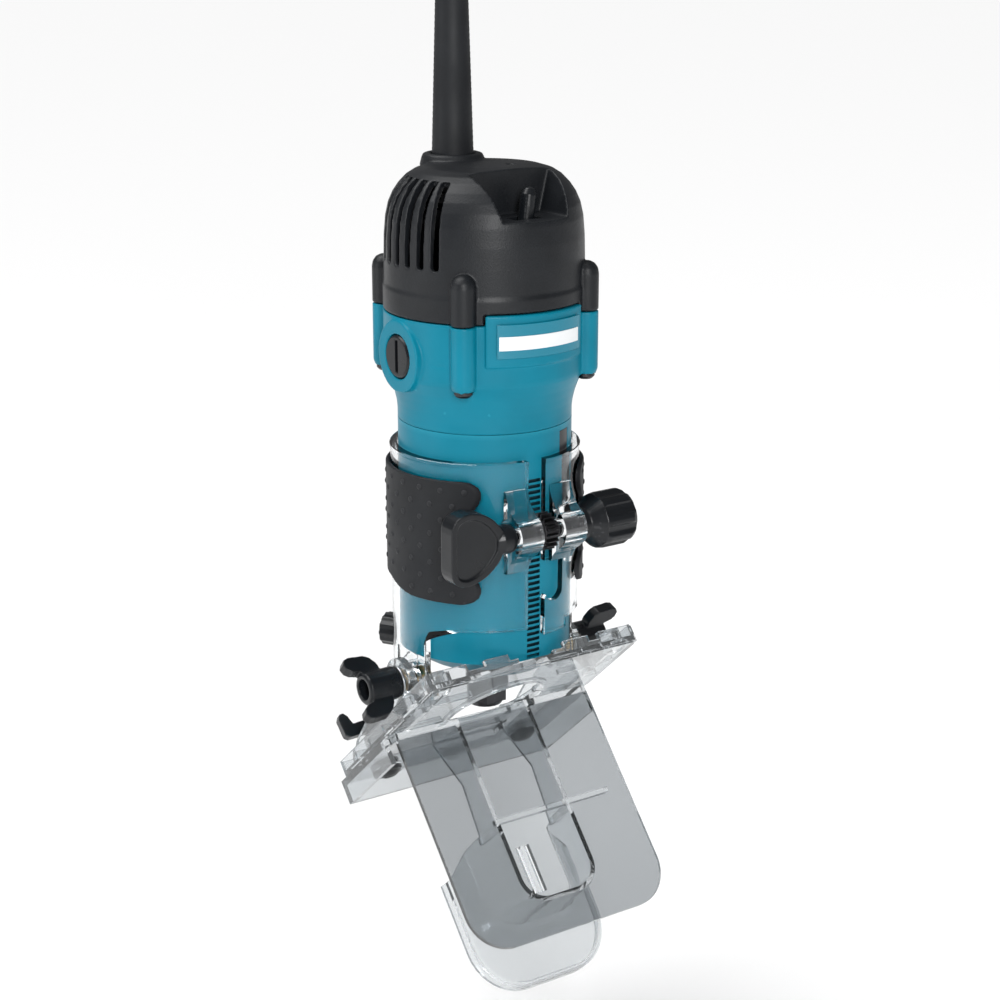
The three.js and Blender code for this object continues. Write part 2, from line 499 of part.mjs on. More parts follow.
function solePlate() {
  const sheet = outline([[-PLATE_HALF_W + 2, PLATE.front], [PLATE_HALF_W - 2, PLATE.front],
    [PLATE_HALF_W, PLATE.front + 2], [PLATE_HALF_W, PLATE.back - 3], [PLATE_HALF_W - 3, PLATE.back],
    [-PLATE_HALF_W + 3, PLATE.back], [-PLATE_HALF_W, PLATE.back - 3], [-PLATE_HALF_W, PLATE.front + 2]]);
  const edge = 2.2;
  const ribs = [-1, 1].flatMap((side) => {
    const span = (a, b) => (side > 0 ? [a, b] : [-b, -a]);
    return [
      block(...span(PLATE_HALF_W - edge, PLATE_HALF_W), PLATE.front + 2, PLATE.back - 3, PLATE.top - 0.4, RIB_TOP),
      block(...span(30, PLATE_HALF_W - 2), PLATE.front, PLATE.front + edge, PLATE.top - 0.4, RIB_TOP),
      block(...span(37.2, 39), PLATE.front, -10, PLATE.top - 0.4, RIB_TOP - 0.6),
      block(...span(8, 30.2), PLATE.front, PLATE.front + edge, PLATE.top - 0.4, PLATE.top + 1.4),
      placed(disc(4.2, PLATE.top - 0.4, RIB_TOP + 0.8, 16), side * 40, PLATE.front + 8.5, 0)];
  });
  const tabs = [[-22, -11.6], [13.6, 25]].map(([x0, x1]) =>
    block(x0, x1, PLATE.front, PLATE.front + edge, PLATE.top - 0.4, RIB_TOP - 0.2));
  const pad = prismZ(outline([[-PLATE_HALF_W + 3, PLATE.front + 1], [PLATE_HALF_W - 3, PLATE.front + 1],
    [PLATE_HALF_W - 1, PLATE.front + 3], [PLATE_HALF_W - 1, PLATE.padBack], [-PLATE_HALF_W + 1, PLATE.padBack],
    [-PLATE_HALF_W + 1, PLATE.front + 3]]), PLATE.pad, PLATE.under + 0.2);
  const rearRib = block(-PLATE_HALF_W + 3, PLATE_HALF_W - 3, PLATE.back - edge, PLATE.back, PLATE.top - 0.4, RIB_TOP);
  const crossRib = block(-EAR.inner, EAR.inner, 34, 35.6, PLATE.top - 0.4, RIB_TOP - 1);
  const boreRim = placed(tube(BORE.r, BORE.r + 1.8, PLATE.top - 0.4, PLATE.top + 1, 40), 0, BORE.y, 0);
  const stiffeners = [-1, 1].flatMap((side) => {
    const span = (a, b) => (side > 0 ? [a, b] : [-b, -a]);
    const inner = [[20, -14], [22.4, 9.6], [14, 24.6]].map(([x, y]) =>
      block(...span(x, EAR.inner + 0.4), y, y + 1.4, PLATE.top - 0.4, PLATE.top + 2.2));
    const outer = [-16, -2, 12, 26, 40].map((y) =>
      block(...span(EAR.outer - 0.4, PLATE_HALF_W - 1), y, y + 1.4, PLATE.top - 0.4, PLATE.top + 2.8));
    return [...inner, ...outer];
  });
  const ears = [ear(-EAR.outer, -EAR.inner), ear(EAR.inner, EAR.outer)];
  const screwBoss = placed(disc(4.4, PLATE.top - 0.4, RIB_TOP - 0.2, 20), GUIDE_SCREW.x, GUIDE_SCREW.y, 0);
  const base = prismZ(sheet, PLATE.under, PLATE.top);
  const bore = placed(disc(BORE.r, PLATE.under - 1, RIB_TOP + 1, 40), 0, BORE.y, 0);
  const earHoles = rodX(2.3, -45, 45, 0, 0, 16);
  const deflectorHoles = DEFLECTOR_SCREWS.map(([x, y]) => placed(disc(1.9, -30, 0, 12), x, y, 0));
  const guideHole = placed(disc(2.3, -30, 0, 12), GUIDE_SCREW.x, GUIDE_SCREW.y, 0);
  return cut(join(base, pad, ...tabs, ...ribs, rearRib, crossRib, ...ears, screwBoss, ...stiffeners, boreRim), bore, earHoles, ...deflectorHoles, guideHole);
}

const DEFLECTOR_SCREWS = [[-32.4, 46], [32.4, 46]];
const GUIDE_SCREW = { x: -26.6, y: 50 };

const CUP = { half: 17.5, top: -60, bottom: -95, depth: 25, wall: 1.8, lip: 28, lipBottom: -117, lipTop: -71 };

// Outline of a U with round lower corners, open at the top, drawn in (x, z).
function uShape(half, top, bottom, corner, wall) {
  const outer = [[-half, top], ...arcPoints(-half + corner, bottom + corner, corner, 180, 270, 6),
    ...arcPoints(half - corner, bottom + corner, corner, 270, 360, 6), [half, top]];
  const h = half - wall;
  const b = bottom + wall;
  const c = Math.max(corner - wall, 1);
  const inner = [[h, top], ...arcPoints(h - c, b + c, c, 360, 270, 6), ...arcPoints(-h + c, b + c, c, 270, 180, 6), [-h, top]];
  return outline([...outer, ...inner]);
}

function chipDeflector() {
  const { halfW, y, t, z1, corner } = SHIELD;
  const shield = outline([[-halfW, FLANGE.top], [-halfW, z1 + corner],
    ...arcPoints(-halfW + corner, z1 + corner, corner, 180, 270, 8),
    ...arcPoints(halfW - corner, z1 + corner, corner, 270, 360, 8), [halfW, FLANGE.top]]);
  const rimT = 2;
  const flangeFront = y + 4;
  const flange = [block(-halfW, halfW, y - t / 2, flangeFront + 1, FLANGE.under, FLANGE.top),
    block(-FLANGE.halfW, FLANGE.halfW, flangeFront, FLANGE.back, FLANGE.under, FLANGE.top)];
  const sides = [-1, 1].map((side) => block(Math.min(side * FLANGE.halfW, side * (FLANGE.halfW - rimT)),
    Math.max(side * FLANGE.halfW, side * (FLANGE.halfW - rimT)), flangeFront, FLANGE.back, FLANGE.rim, FLANGE.under + 0.3));
  const back = block(-FLANGE.halfW, FLANGE.halfW, FLANGE.back - rimT, FLANGE.back, FLANGE.rim, FLANGE.under + 0.3);
  const y0 = y + t / 2 - 0.3;
  const cup = prismY(uShape(CUP.half, CUP.top, CUP.bottom, 9, CUP.wall), y0, y0 + CUP.depth);
  const flare = prismY(uShape(CUP.lip, CUP.lipTop, CUP.lipBottom, 18, 10.6 + 3.2), y0 + CUP.depth - 2, y0 + CUP.depth);
  const lip = prismY(uShape(CUP.lip, CUP.lipTop, CUP.lipBottom, 18, CUP.wall), y0 + CUP.depth - 1, y0 + CUP.depth + 5);
  const webEdge = outline([[y, FLANGE.under + 0.3], [34, FLANGE.under + 0.3], [24, -40], [27, CUP.top - 3],
    [y, CUP.top - 3]]);
  const webs = [-17.4, 15.6].map((x) => prismX(webEdge, x, x + 1.8));
  const tBar = block(-17, 36, y0, y0 + 3.5, CUP.top - 1, CUP.top + 1);
  const bitWay = block(-15.4, 15.4, y + 1.05, 40, -30, -10);
  const slots = [-11.8, -7.6].map((x) => block(x - 0.8, x + 0.8, y - 3, y + 3, -91, -72));
  const screwHoles = DEFLECTOR_SCREWS.map(([x, sy]) => placed(disc(1.9, -30, 0, 12), x, sy, 0));
  const solidDeflector = join(prismY(shield, y - t / 2, y + t / 2), ...flange, ...sides, back, cup, flare, lip, ...webs, tBar);
  return cut(solidDeflector, bitWay, ...slots, ...screwHoles);
}

function deflectorScrew([x, y]) {
  const head = [[0, -23.4], [2.6, -23.2], [4.6, -22], [5, -20.9], [5, FLANGE.under - CLEAR]];
  const pin = turned([...head, [1.6, FLANGE.under - CLEAR], [1.6, PLATE.top + 2], [0, PLATE.top + 2.4]], 20);
  return cut(solid(pin), block(-2.6, 2.6, -0.5, 0.5, -24, -22.4)).translate([x, y, 0]);
}

function guideWingScrew() {
  const hub = turned([[0, -15.6], [2, -15.6], [2, -9.6], [5, -9.6], [5.4, -8.4], [5.2, 3.4], [4, 4.4], [0, 4.4]], 24);
  const wing = outline([[3, -2.6], [14.4, -2.6], [15.8, -1.4], [16.2, 5.8], [15.2, 7.6], [13.4, 7.6], [12.2, 6],
    [11, 2.4], [3, 2.8]]);
  const wings = [0, 180].map((turn) => prismY(wing, -2.3, 2.3).rotateZ(rad(turn + 172)));
  return join(hub, ...wings).translate([GUIDE_SCREW.x, GUIDE_SCREW.y, 0]);
}

function addSole(parent) {
  const tilted = new THREE.Group();
  tilted.position.set(0, 0, PIVOT_Z);
  tilted.rotation.x = -rad(TILT_DEG);
  parent.add(tilted);
  addMesh(tilted, 'sole_plate', solePlate(), 'clear');
  addMesh(tilted, 'chip_deflector', chipDeflector(), 'clear');
  DEFLECTOR_SCREWS.forEach((place, i) => addMesh(tilted, `deflector_screw_${i + 1}`, deflectorScrew(place), 'black'));
  addMesh(tilted, 'guide_wing_screw', guideWingScrew(), 'black');
}

// ---------------------------------------------------------------- supply cord, drawn in the plane it falls in
function cordTube(points, segments) {
  const path = new THREE.CatmullRomCurve3(points.map(([y, z, x = 0]) => new THREE.Vector3(x, y, z)), false, 'centripetal');
  const section = new THREE.Shape(arcPoints(0, 0, CORD_R, 0, 315, 7).map(([u, v]) => new THREE.Vector2(u, v)));
  return new THREE.ExtrudeGeometry(section, { steps: segments, extrudePath: path, bevelEnabled: false });
}

function hankSolid() {
  const { foldR, z0, z1, x0, x1 } = HANK;
  const mid = 2 * ARCH_R - foldR + CORD_R;
  const ends = [...arcPoints(mid, z1 - foldR, foldR, 0, 180, 10), ...arcPoints(mid, z0 + foldR, foldR, 180, 360, 10)];
  return prismX(outline(ends), x0, x1);
}

const PLUG = { x: 19.5, y: 75, z: 14 };

function mainsPlug() {
  const face = outline([[-17.5, -7], [-14, -8], [14, -8], [17.5, -7], [17.5, 7], [14, 8], [-14, 8], [-17.5, 7]]);
  const body = prismZ(face, -42, -8).rotateZ(Math.PI / 2);
  const relief = turned([[0, -10], [6.5, -10], [4.6, 0], [0, 0]], 16);
  const pins = [-9.5, 9.5].map((y) => placed(disc(2, -61, -41, 10), 0, y, 0));
  return join(body, relief, ...pins).translate([PLUG.x, PLUG.y, PLUG.z]);
}

function cordTie() {
  const { foldR, x0, x1 } = HANK;
  const mid = 2 * ARCH_R - foldR + CORD_R;
  const gap = 0.4;
  const t = 2;
  const ring = outline([[x0 - gap - t, mid - foldR - gap - t], [x1 + gap + t, mid - foldR - gap - t],
    [x1 + gap + t, mid + foldR + gap + t], [x0 - gap - t, mid + foldR + gap + t]]);
  ring.holes.push(outline([[x0 - gap, mid - foldR - gap], [x0 - gap, mid + foldR + gap],
    [x1 + gap, mid + foldR + gap], [x1 + gap, mid - foldR - gap]]));
  return prismZ(ring, -16, -6);
}

function addCord(parent) {
  const falling = new THREE.Group();
  falling.position.set(0, GUARD_Y, 0);
  falling.rotation.z = -rad(CORD_BEARING);
  parent.add(falling);
  const archTop = GUARD_TOP + 16;
  const arch = arcPoints(ARCH_R, archTop, ARCH_R, 180, 0, 8);
  const drop = [[2 * ARCH_R, 160], [2 * ARCH_R, 120], [2 * ARCH_R, HANK.z1 - HANK.foldR + 20.6]];
  addMesh(falling, 'power_cord', cordTube([[0, GUARD_TOP - 6], [0, GUARD_TOP + 6], ...arch, ...drop], 26), 'rubber');
  addMesh(falling, 'cord_hank', hankSolid(), 'rubber');
  addMesh(falling, 'cord_tie', cordTie(), 'black');
  const lead = [0.62, 0.75, 0.88, 1].map((t) => {
    const along = (1 - Math.cos(Math.PI * t)) / 2;
    const start = { x: HANK.x1 - CORD_R, y: 81.4, z: HANK.z1 - HANK.foldR };
    return [start.y + (PLUG.y - start.y) * along, start.z + (PLUG.z + CLEAR - start.z) * t,
      start.x + (PLUG.x - start.x) * along];
  });
  addMesh(falling, 'plug_lead', cordTube(lead, 5), 'rubber');
  addMesh(falling, 'mains_plug', mainsPlug(), 'black');
}

addMotor(router);
addSwitch(router);
addRotor(router);
addBase(router);
addWingNuts(router);
addSole(router);
addCord(router);

export default router;
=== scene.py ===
"""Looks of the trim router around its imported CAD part. Helpers take mm, the scene is in metres."""
import json
import math

import bmesh
import bpy
from mathutils import Matrix, Vector

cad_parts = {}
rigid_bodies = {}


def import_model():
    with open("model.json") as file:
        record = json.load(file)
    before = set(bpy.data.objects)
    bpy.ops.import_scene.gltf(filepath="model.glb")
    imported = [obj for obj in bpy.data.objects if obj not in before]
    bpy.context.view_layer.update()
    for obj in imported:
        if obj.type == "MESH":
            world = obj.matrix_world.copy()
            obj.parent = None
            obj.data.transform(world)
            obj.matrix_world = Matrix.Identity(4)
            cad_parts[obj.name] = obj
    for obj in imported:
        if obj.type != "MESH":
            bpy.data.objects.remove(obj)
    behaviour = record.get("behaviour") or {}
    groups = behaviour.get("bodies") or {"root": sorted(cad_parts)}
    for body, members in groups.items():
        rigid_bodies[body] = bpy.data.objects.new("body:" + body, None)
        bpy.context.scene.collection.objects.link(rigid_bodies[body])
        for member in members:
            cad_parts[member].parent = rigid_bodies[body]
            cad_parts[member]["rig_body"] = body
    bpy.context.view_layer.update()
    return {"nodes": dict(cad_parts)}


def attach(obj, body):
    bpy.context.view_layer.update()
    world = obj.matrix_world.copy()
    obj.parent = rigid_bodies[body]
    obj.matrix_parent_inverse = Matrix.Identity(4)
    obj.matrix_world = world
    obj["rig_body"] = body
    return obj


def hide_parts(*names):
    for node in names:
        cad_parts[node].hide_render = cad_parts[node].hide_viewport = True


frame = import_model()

NODES = frame["nodes"]
MM = 0.001

# ------------------------------------------------------------ dimensions, mm, as in the CAD part
BARREL_R = 32.6
BAND_R = 37.4
BAND_BORE_R = 34.6
BARREL_BORE_R = 29.6
JOIN_Z = 75                    # the black cover meets the teal band here
JOIN_GAP = 0.2
SEAM_Z = 34                    # the casing is made in two pieces that meet here
BOSS_R = 4.5
BOSS_CENTRE_R = 38
BOSS_ANGLES = (45, 135, 225, 315)
BOSS_SCREW_R = 2.2
BRUSH_Z = 60.5
VENTS_A_SIDE = 6
VENT_HALF_W = 1.6
VENT_START_DEG = 62            # from the front of the cover
VENT_STEP_DEG = 10
RACK_PITCH = 2.2
RACK_SLOT = 1.3
RACK_DEPTH = 1.6
RACK_HALF_W = 2.8
RACK_SLOTS = 32
RACK_SLOTS_BELOW = 23
GROOVE = (24, 36.5)            # degrees from the front of the barrel, for the depth scale
GROOVE_TOP = 31.8
GROOVE_DEPTH = 1.1
PINION_Y = -38.903
PINION_Z = -2
SLEEVE_IN = 32.95
SLEEVE_OUT = 35.6
SLEEVE_Z0 = -66
RIM_Z = 24
SLIT = (-4.4, 3.0)
CLAMP_R = 7.4
GRIP_IN = 35.9
GRIP_OUT = 37.4
DOT_R = 1.2
DOT_HEIGHT = 0.6
DOT_PITCH = 9.2
DOT_ROW = 5.6
PIVOT_Z = -65
TILT_DEG = 42
LEG_R = 7
NUT_OUTWARD = 0.4              # keeps the wings off the edge of the level sole
BROKEN_EDGE = 0.25             # on the CAD nodes that stay
CREASE_DEG = 35                # faces that meet at more than this keep an edge
SHIELD_Y = 10
SHIELD_HALF_T = 1
SHIELD_HALF_W = 44.3
SHIELD_LOW = -107
SHIELD_CORNER_R = 16
FLANGE_TOP = -17.1
FLANGE_UNDER = -19.6
FLANGE_HALF_W = 47.6
FLANGE_FRONT = 14
FLANGE_BACK = 58
FLANGE_RIM = -27
WEB_IN, WEB_OUT = 15.4, 17.2
GUARD_Y = 21
GUARD_TOP = 188
GUARD_HOLE_R = 8.3
GUARD_RINGS = 28
GUARD_RING_PITCH = 2.16
CORD_R = 3.5
CORD_BEARING = 32.65
ARCH_R = 44.3
HANK_TOP = 95
HANK_BOTTOM = -40
HANK_OUTER_R = 29.2
HANK_INNER_R = 22.0
HANK_LANES = (-17.5, -10.17, -2.83, 4.5)
PLUG = (19.5, 75, 14)          # where the cord enters the plug, in the cord's frame

# ------------------------------------------------------------ camera, lights, floor
CAMERA_AT = (-0.4020, -0.6064, 0.2197)
CAMERA_BACK = (-0.5353, -0.7937, 0.2890)
CAMERA_RIGHT = (0.829, -0.559, 0.0)
LENS_MM = 72
FLOOR_Z = -0.235
FLOOR_HALF_M = 30
SUN = 3.0
SUN_ANGLE_DEG = 50
SUN_TILT_DEG = (-15, -20, 0)
KEY = 15
FILL = 4
ROOM_LEVEL = 0.2               # what surfaces reflect of the white room


def make_camera():
    """In front of the tool and to its left, a little above the cord guard, looking down at it."""
    back = Vector(CAMERA_BACK).normalized()
    right = Vector(CAMERA_RIGHT).normalized()
    up = back.cross(right)
    data = bpy.data.cameras.new("camera")
    data.lens = LENS_MM
    data.sensor_width = 36
    data.clip_start = 0.01
    camera = bpy.data.objects.new("camera", data)
    turn = Matrix((right, up, back)).transposed().to_4x4()
    camera.matrix_world = Matrix.Translation(CAMERA_AT) @ turn
    bpy.context.scene.collection.objects.link(camera)
    bpy.context.scene.camera = camera


def area_light(name, place, size, power):
    """A soft box that faces the origin."""
    data = bpy.data.lights.new(name, "AREA")
    data.shape = "RECTANGLE"
    data.size, data.size_y = size
    data.energy = power
    light = bpy.data.objects.new(name, data)
    light.location = place
    light.rotation_euler = (-Vector(place)).to_track_quat("-Z", "Y").to_euler()
    bpy.context.scene.collection.objects.link(light)


def make_lights():
    sun = bpy.data.lights.new("sun", "SUN")
    sun.energy = SUN
    sun.angle = math.radians(SUN_ANGLE_DEG)
    overhead = bpy.data.objects.new("sun", sun)
    overhead.rotation_euler = [math.radians(turn) for turn in SUN_TILT_DEG]
    bpy.context.scene.collection.objects.link(overhead)
    area_light("key", (-0.55, -1.25, 0.55), (0.25, 0.7), KEY)
    area_light("side", (-1.3, 0.35, 0.1), (0.15, 1.2), FILL)


def make_room():
    """A white room: full strength to the camera and through clear plastic, weaker in reflections."""
    world = bpy.data.worlds.new("studio")
    bpy.context.scene.world = world
    world.use_nodes = True
    tree = world.node_tree
    back = tree.nodes["Background"]
    back.inputs["Color"].default_value = (1.0, 1.0, 1.0, 1)
    path = tree.nodes.new("ShaderNodeLightPath")
    seen = tree.nodes.new("ShaderNodeMath")
    seen.operation = "MAXIMUM"
    tree.links.new(path.outputs["Is Camera Ray"], seen.inputs[0])
    tree.links.new(path.outputs["Is Transmission Ray"], seen.inputs[1])
    level = tree.nodes.new("ShaderNodeMapRange")
    level.inputs["To Min"].default_value = ROOM_LEVEL
    level.inputs["To Max"].default_value = 1.0
    tree.links.new(seen.outputs[0], level.inputs["Value"])
    tree.links.new(level.outputs["Result"], back.inputs["Strength"])
    bpy.context.scene.view_settings.view_transform = "Standard"


def make_floor():
    far = FLOOR_HALF_M
    corners = [(-far, -far, 0), (far, -far, 0), (far, far, 0), (-far, far, 0)]
    floor = raw_object("studio_floor", corners, [(0, 1, 2, 3)])
    floor.location.z = FLOOR_Z
    paint = Material("floor_paper", (0.93, 0.93, 0.93), 0.8)
    paint.bump(40, 0.02, 0.0002)
    floor.data.materials.append(paint.block)


# ------------------------------------------------------------ mesh helpers, in mm
def raw_object(name, verts, faces):
    mesh = bpy.data.meshes.new(name)
    mesh.from_pydata([tuple(v) for v in verts], [], faces)
    thing = bpy.data.objects.new(name, mesh)
    bpy.context.scene.collection.objects.link(thing)
    return thing


def tidy_mesh(thing, merge=1e-4):
    shape = bmesh.new()
    shape.from_mesh(thing.data)
    bmesh.ops.remove_doubles(shape, verts=shape.verts, dist=merge)
    bmesh.ops.recalc_face_normals(shape, faces=shape.faces)
    shape.to_mesh(thing.data)
    shape.free()
    return thing


def lathe(profile, segments=128, centre=(0, 0)):
    """A closed body turned about Z from a list of (radius, z)."""
    rows = len(profile)
    verts = []
    for r, z in profile:
        for i in range(segments):
            a = 2 * math.pi * i / segments
            verts.append((centre[0] + r * math.cos(a), centre[1] + r * math.sin(a), z))
    on_axis = profile[0][0] == 0 and profile[-1][0] == 0
    faces = []
    for row in range(rows - 1 if on_axis else rows):
        a, b = row * segments, ((row + 1) % rows) * segments
        for i in range(segments):
            j = (i + 1) % segments
            faces.append((a + i, a + j, b + j, b + i))
    return tidy_mesh(raw_object("lathe", verts, faces))


def prism(points, lo, hi, axis="z"):
    """A closed body: an outline in (x, y), (y, z) or (x, z), pushed along the axis z, x or y."""
    place = {
        "z": lambda u, v, w: (u, v, w),
        "x": lambda u, v, w: (w, u, v),
        "y": lambda u, v, w: (u, w, v),
    }[axis]
    n = len(points)
    verts = [place(u, v, w) for w in (lo, hi) for u, v in points]
    sides = [(i, (i + 1) % n, n + (i + 1) % n, n + i) for i in range(n)]
    caps = [tuple(range(n)), tuple(range(2 * n - 1, n - 1, -1))]
    return tidy_mesh(raw_object("prism", verts, sides + caps))


def arc(cx, cy, r, start, end, steps=16):
    angles = [math.radians(start + (end - start) * i / steps) for i in range(steps + 1)]
    return [(cx + r * math.cos(a), cy + r * math.sin(a)) for a in angles]


def rod(r, lo, hi, axis, centre=(0, 0), segments=48):
    return prism(arc(centre[0], centre[1], r, 0, 360 - 360 / segments, segments - 1), lo, hi, axis)


def sided(side, near, far):
    """The two distances on one side of the middle plane, in rising order."""
    return sorted((side * near, side * far))


def block(x0, x1, y0, y1, z0, z1):
    return prism([(x0, y0), (x1, y0), (x1, y1), (x0, y1)], z0, z1)


def sector(r_in, r_out, start, end, z0, z1, steps=24):
    """Part of a ring, between two angles counted from the front towards +X."""
    outer = arc(0, 0, r_out, start - 90, end - 90, steps)
    inner = arc(0, 0, r_in, end - 90, start - 90, steps)
    return prism(outer + inner, z0, z1)


def curve_points(start, *bends, steps=10):
    """An outline of straight lines (two numbers) and quadratic bends (four numbers: control, end)."""
    points = [start]
    for bend in bends:
        if len(bend) == 2:
            points.append(bend)
            continue
        x0, y0 = points[-1]
        cx, cy, x1, y1 = bend
        for i in range(1, steps + 1):
            t = i / steps
            points.append(((1 - t) ** 2 * x0 + 2 * t * (1 - t) * cx + t * t * x1,
                           (1 - t) ** 2 * y0 + 2 * t * (1 - t) * cy + t * t * y1))
    return points


def settle(thing):
    """Applies the modifiers of a piece to its mesh."""
    graph = bpy.context.evaluated_depsgraph_get()
    mesh = bpy.data.meshes.new_from_object(thing.evaluated_get(graph))
    thing.modifiers.clear()
    thing.data = mesh
    return thing


def combine(thing, tools, operation):
    for tool in tools:
        step = thing.modifiers.new("combine", "BOOLEAN")
        step.operation = operation
        step.solver = "EXACT"
        step.object = tool
    settle(thing)
    for tool in tools:
        bpy.data.objects.remove(tool)
    return thing


def add(thing, *tools):
    return combine(thing, tools, "UNION")


def cut(thing, *tools):
    return combine(thing, tools, "DIFFERENCE")


def fuse(thing, voxel, rounds):
    """Rebuilds a body as one skin whose corners are softened like a moulding."""
    skin = thing.modifiers.new("skin", "REMESH")
    skin.mode = "VOXEL"
    skin.voxel_size = voxel
    soften = thing.modifiers.new("soften", "SMOOTH")
    soften.factor = 0.5
    soften.iterations = rounds
    return settle(thing)


def to_sole():
    return Matrix.Translation((0, 0, PIVOT_Z)) @ Matrix.Rotation(-math.radians(TILT_DEG), 4, "X")


def finish_piece(thing, name, body, replaced, look, angle=CREASE_DEG, bevel=0.0, matrix=None):
    """Scales a piece to metres, names it, gives it its look and hangs it on its CAD body."""
    if matrix is not None:
        thing.data.transform(matrix)
    thing.data.transform(Matrix.Scale(MM, 4))
    thing.name = name
    thing.data.name = name
    thing.data.materials.clear()
    thing.data.materials.append(look.block)
    smooth(thing, angle)
    if bevel:
        round_edges(thing, bevel)
    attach(thing, body)
    if replaced:
        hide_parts(*replaced)
    return thing


def smooth(thing, angle):
    for face in thing.data.polygons:
        face.use_smooth = True
    thing.data.set_sharp_from_angle(angle=math.radians(angle))


def round_edges(thing, width):
    bevel = thing.modifiers.new("round", "BEVEL")
    bevel.width = width * MM
    bevel.segments = 3
    bevel.limit_method = "ANGLE"
    bevel.angle_limit = math.radians(CREASE_DEG)
    bevel.use_clamp_overlap = True
    bevel.harden_normals = False
    even = thing.modifiers.new("even", "WEIGHTED_NORMAL")
    even.keep_sharp = False


# ------------------------------------------------------------ materials
class Material:
    """A principled material whose colour, roughness and bump come from noise in object space."""

    def __init__(self, name, colour, roughness, metallic=0.0):
        self.block = bpy.data.materials.new(name)
        self.block.use_nodes = True
        self.tree = self.block.node_tree
        self.shader = self.tree.nodes["Principled BSDF"]
        self.set("Base Color", (*colour, 1))
        self.set("Roughness", roughness)
        self.set("Metallic", metallic)
        self.colour = colour
        self.normal = None
        self.place = self.tree.nodes.new("ShaderNodeTexCoord").outputs["Object"]

    def set(self, socket, value):
        self.shader.inputs[socket].default_value = value
        return self

    def node(self, kind, **values):
        made = self.tree.nodes.new(kind)
        for key, value in values.items():
            made.inputs[key].default_value = value
        return made

    def noise(self, scale, detail=4.0):
        made = self.node("ShaderNodeTexNoise", Scale=scale, Detail=detail)
        self.tree.links.new(self.place, made.inputs["Vector"])
        return made.outputs["Fac"]

    def ranged(self, value, low, high, from_low=0.3, from_high=0.7):
        made = self.node("ShaderNodeMapRange", **{"From Min": from_low, "From Max": from_high,
                                                  "To Min": low, "To Max": high})
        self.tree.links.new(value, made.inputs["Value"])
        return made.outputs["Result"]

    def mottle(self, scale, amount, tint=None):
        """Colour that wanders between two near shades."""
        dark = [c * (1 - amount) for c in self.colour]
        light = tint or [min(1, c * (1 + amount) + amount * 0.01) for c in self.colour]
        ramp = self.tree.nodes.new("ShaderNodeValToRGB")
        ramp.color_ramp.elements[0].position = 0.3
        ramp.color_ramp.elements[1].position = 0.7
        ramp.color_ramp.elements[0].color = (*dark, 1)
        ramp.color_ramp.elements[1].color = (*light, 1)
        self.tree.links.new(self.noise(scale), ramp.inputs["Fac"])
        self.base = ramp.outputs["Color"]
        self.tree.links.new(self.base, self.shader.inputs["Base Color"])
        return self

    def wear_and_edge_highlight(self, colour, strength=0.35):
        """Paler edges where the surface turns sharply: partly rubbed wear, partly a painted highlight along
        the edges.
        """
        shape = self.tree.nodes.new("ShaderNodeNewGeometry")
        edge = self.ranged(shape.outputs["Pointiness"], 0, strength, 0.53, 0.62)
        mix = self.tree.nodes.new("ShaderNodeMix")
        mix.data_type = "RGBA"
        for socket in mix.inputs:
            if socket.name == "A" and socket.type == "RGBA":
                self.tree.links.new(self.base, socket)
            if socket.name == "B" and socket.type == "RGBA":
                socket.default_value = (*colour, 1)
        self.tree.links.new(edge, mix.inputs["Factor"])
        result = [out for out in mix.outputs if out.type == "RGBA"][0]
        self.tree.links.new(result, self.shader.inputs["Base Color"])
        return self

    def patchy_gloss(self, scale, low, high):
        self.tree.links.new(self.ranged(self.noise(scale), low, high), self.shader.inputs["Roughness"])
        return self

    def raise_by(self, height, strength, depth):
        """Adds a bump on top of those already there."""
        made = self.node("ShaderNodeBump", Strength=strength, Distance=depth)
        self.tree.links.new(height, made.inputs["Height"])
        if self.normal is not None:
            self.tree.links.new(self.normal, made.inputs["Normal"])
        self.normal = made.outputs["Normal"]
        self.tree.links.new(self.normal, self.shader.inputs["Normal"])
        return self

    def bump(self, scale, strength, depth, detail=3.0):
        return self.raise_by(self.noise(scale, detail), strength, depth)

    def rings(self, scale, strength, depth, axis):
        """Fine turning or brushing lines across one axis."""
        wave = self.node("ShaderNodeTexWave", Scale=scale, Distortion=0.6, Detail=2.0)
        wave.bands_direction = axis
        self.tree.links.new(self.place, wave.inputs["Vector"])
        return self.raise_by(wave.outputs["Fac"], strength, depth)


def teal_look():
    look = Material("teal_nylon", (0.0, 0.165, 0.243), 0.42)
    look.set("Specular IOR Level", 0.18)
    look.mottle(60, 0.06).patchy_gloss(35, 0.34, 0.46)
    # paler edges: partly wear, partly a painted highlight in the colour of a lit teal edge
    look.wear_and_edge_highlight((0.03, 0.34, 0.45), 0.3)
    return look.bump(2600, 0.22, 0.00004).bump(90, 0.04, 0.0003)


def teal_plate_look():
    look = Material("teal_gloss", (0.0, 0.17, 0.25), 0.22)
    look.mottle(40, 0.04).patchy_gloss(50, 0.18, 0.28)
    return look.bump(300, 0.05, 0.00003)


def white_print_look():
    look = Material("white_print", (0.72, 0.74, 0.75), 0.35)
    look.mottle(80, 0.03).patchy_gloss(60, 0.3, 0.42)
    return look.bump(900, 0.08, 0.00002)


def black_grain_look():
    look = Material("black_grained_nylon", (0.0054, 0.0066, 0.0086), 0.44)
    look.set("Specular IOR Level", 0.3)
    look.mottle(120, 0.12).patchy_gloss(45, 0.38, 0.52)
    # paler edges: partly wear, partly a painted highlight
    look.wear_and_edge_highlight((0.06, 0.063, 0.067), 0.45)
    return look.bump(1500, 0.5, 0.00012, 2.0).bump(4200, 0.25, 0.00005)


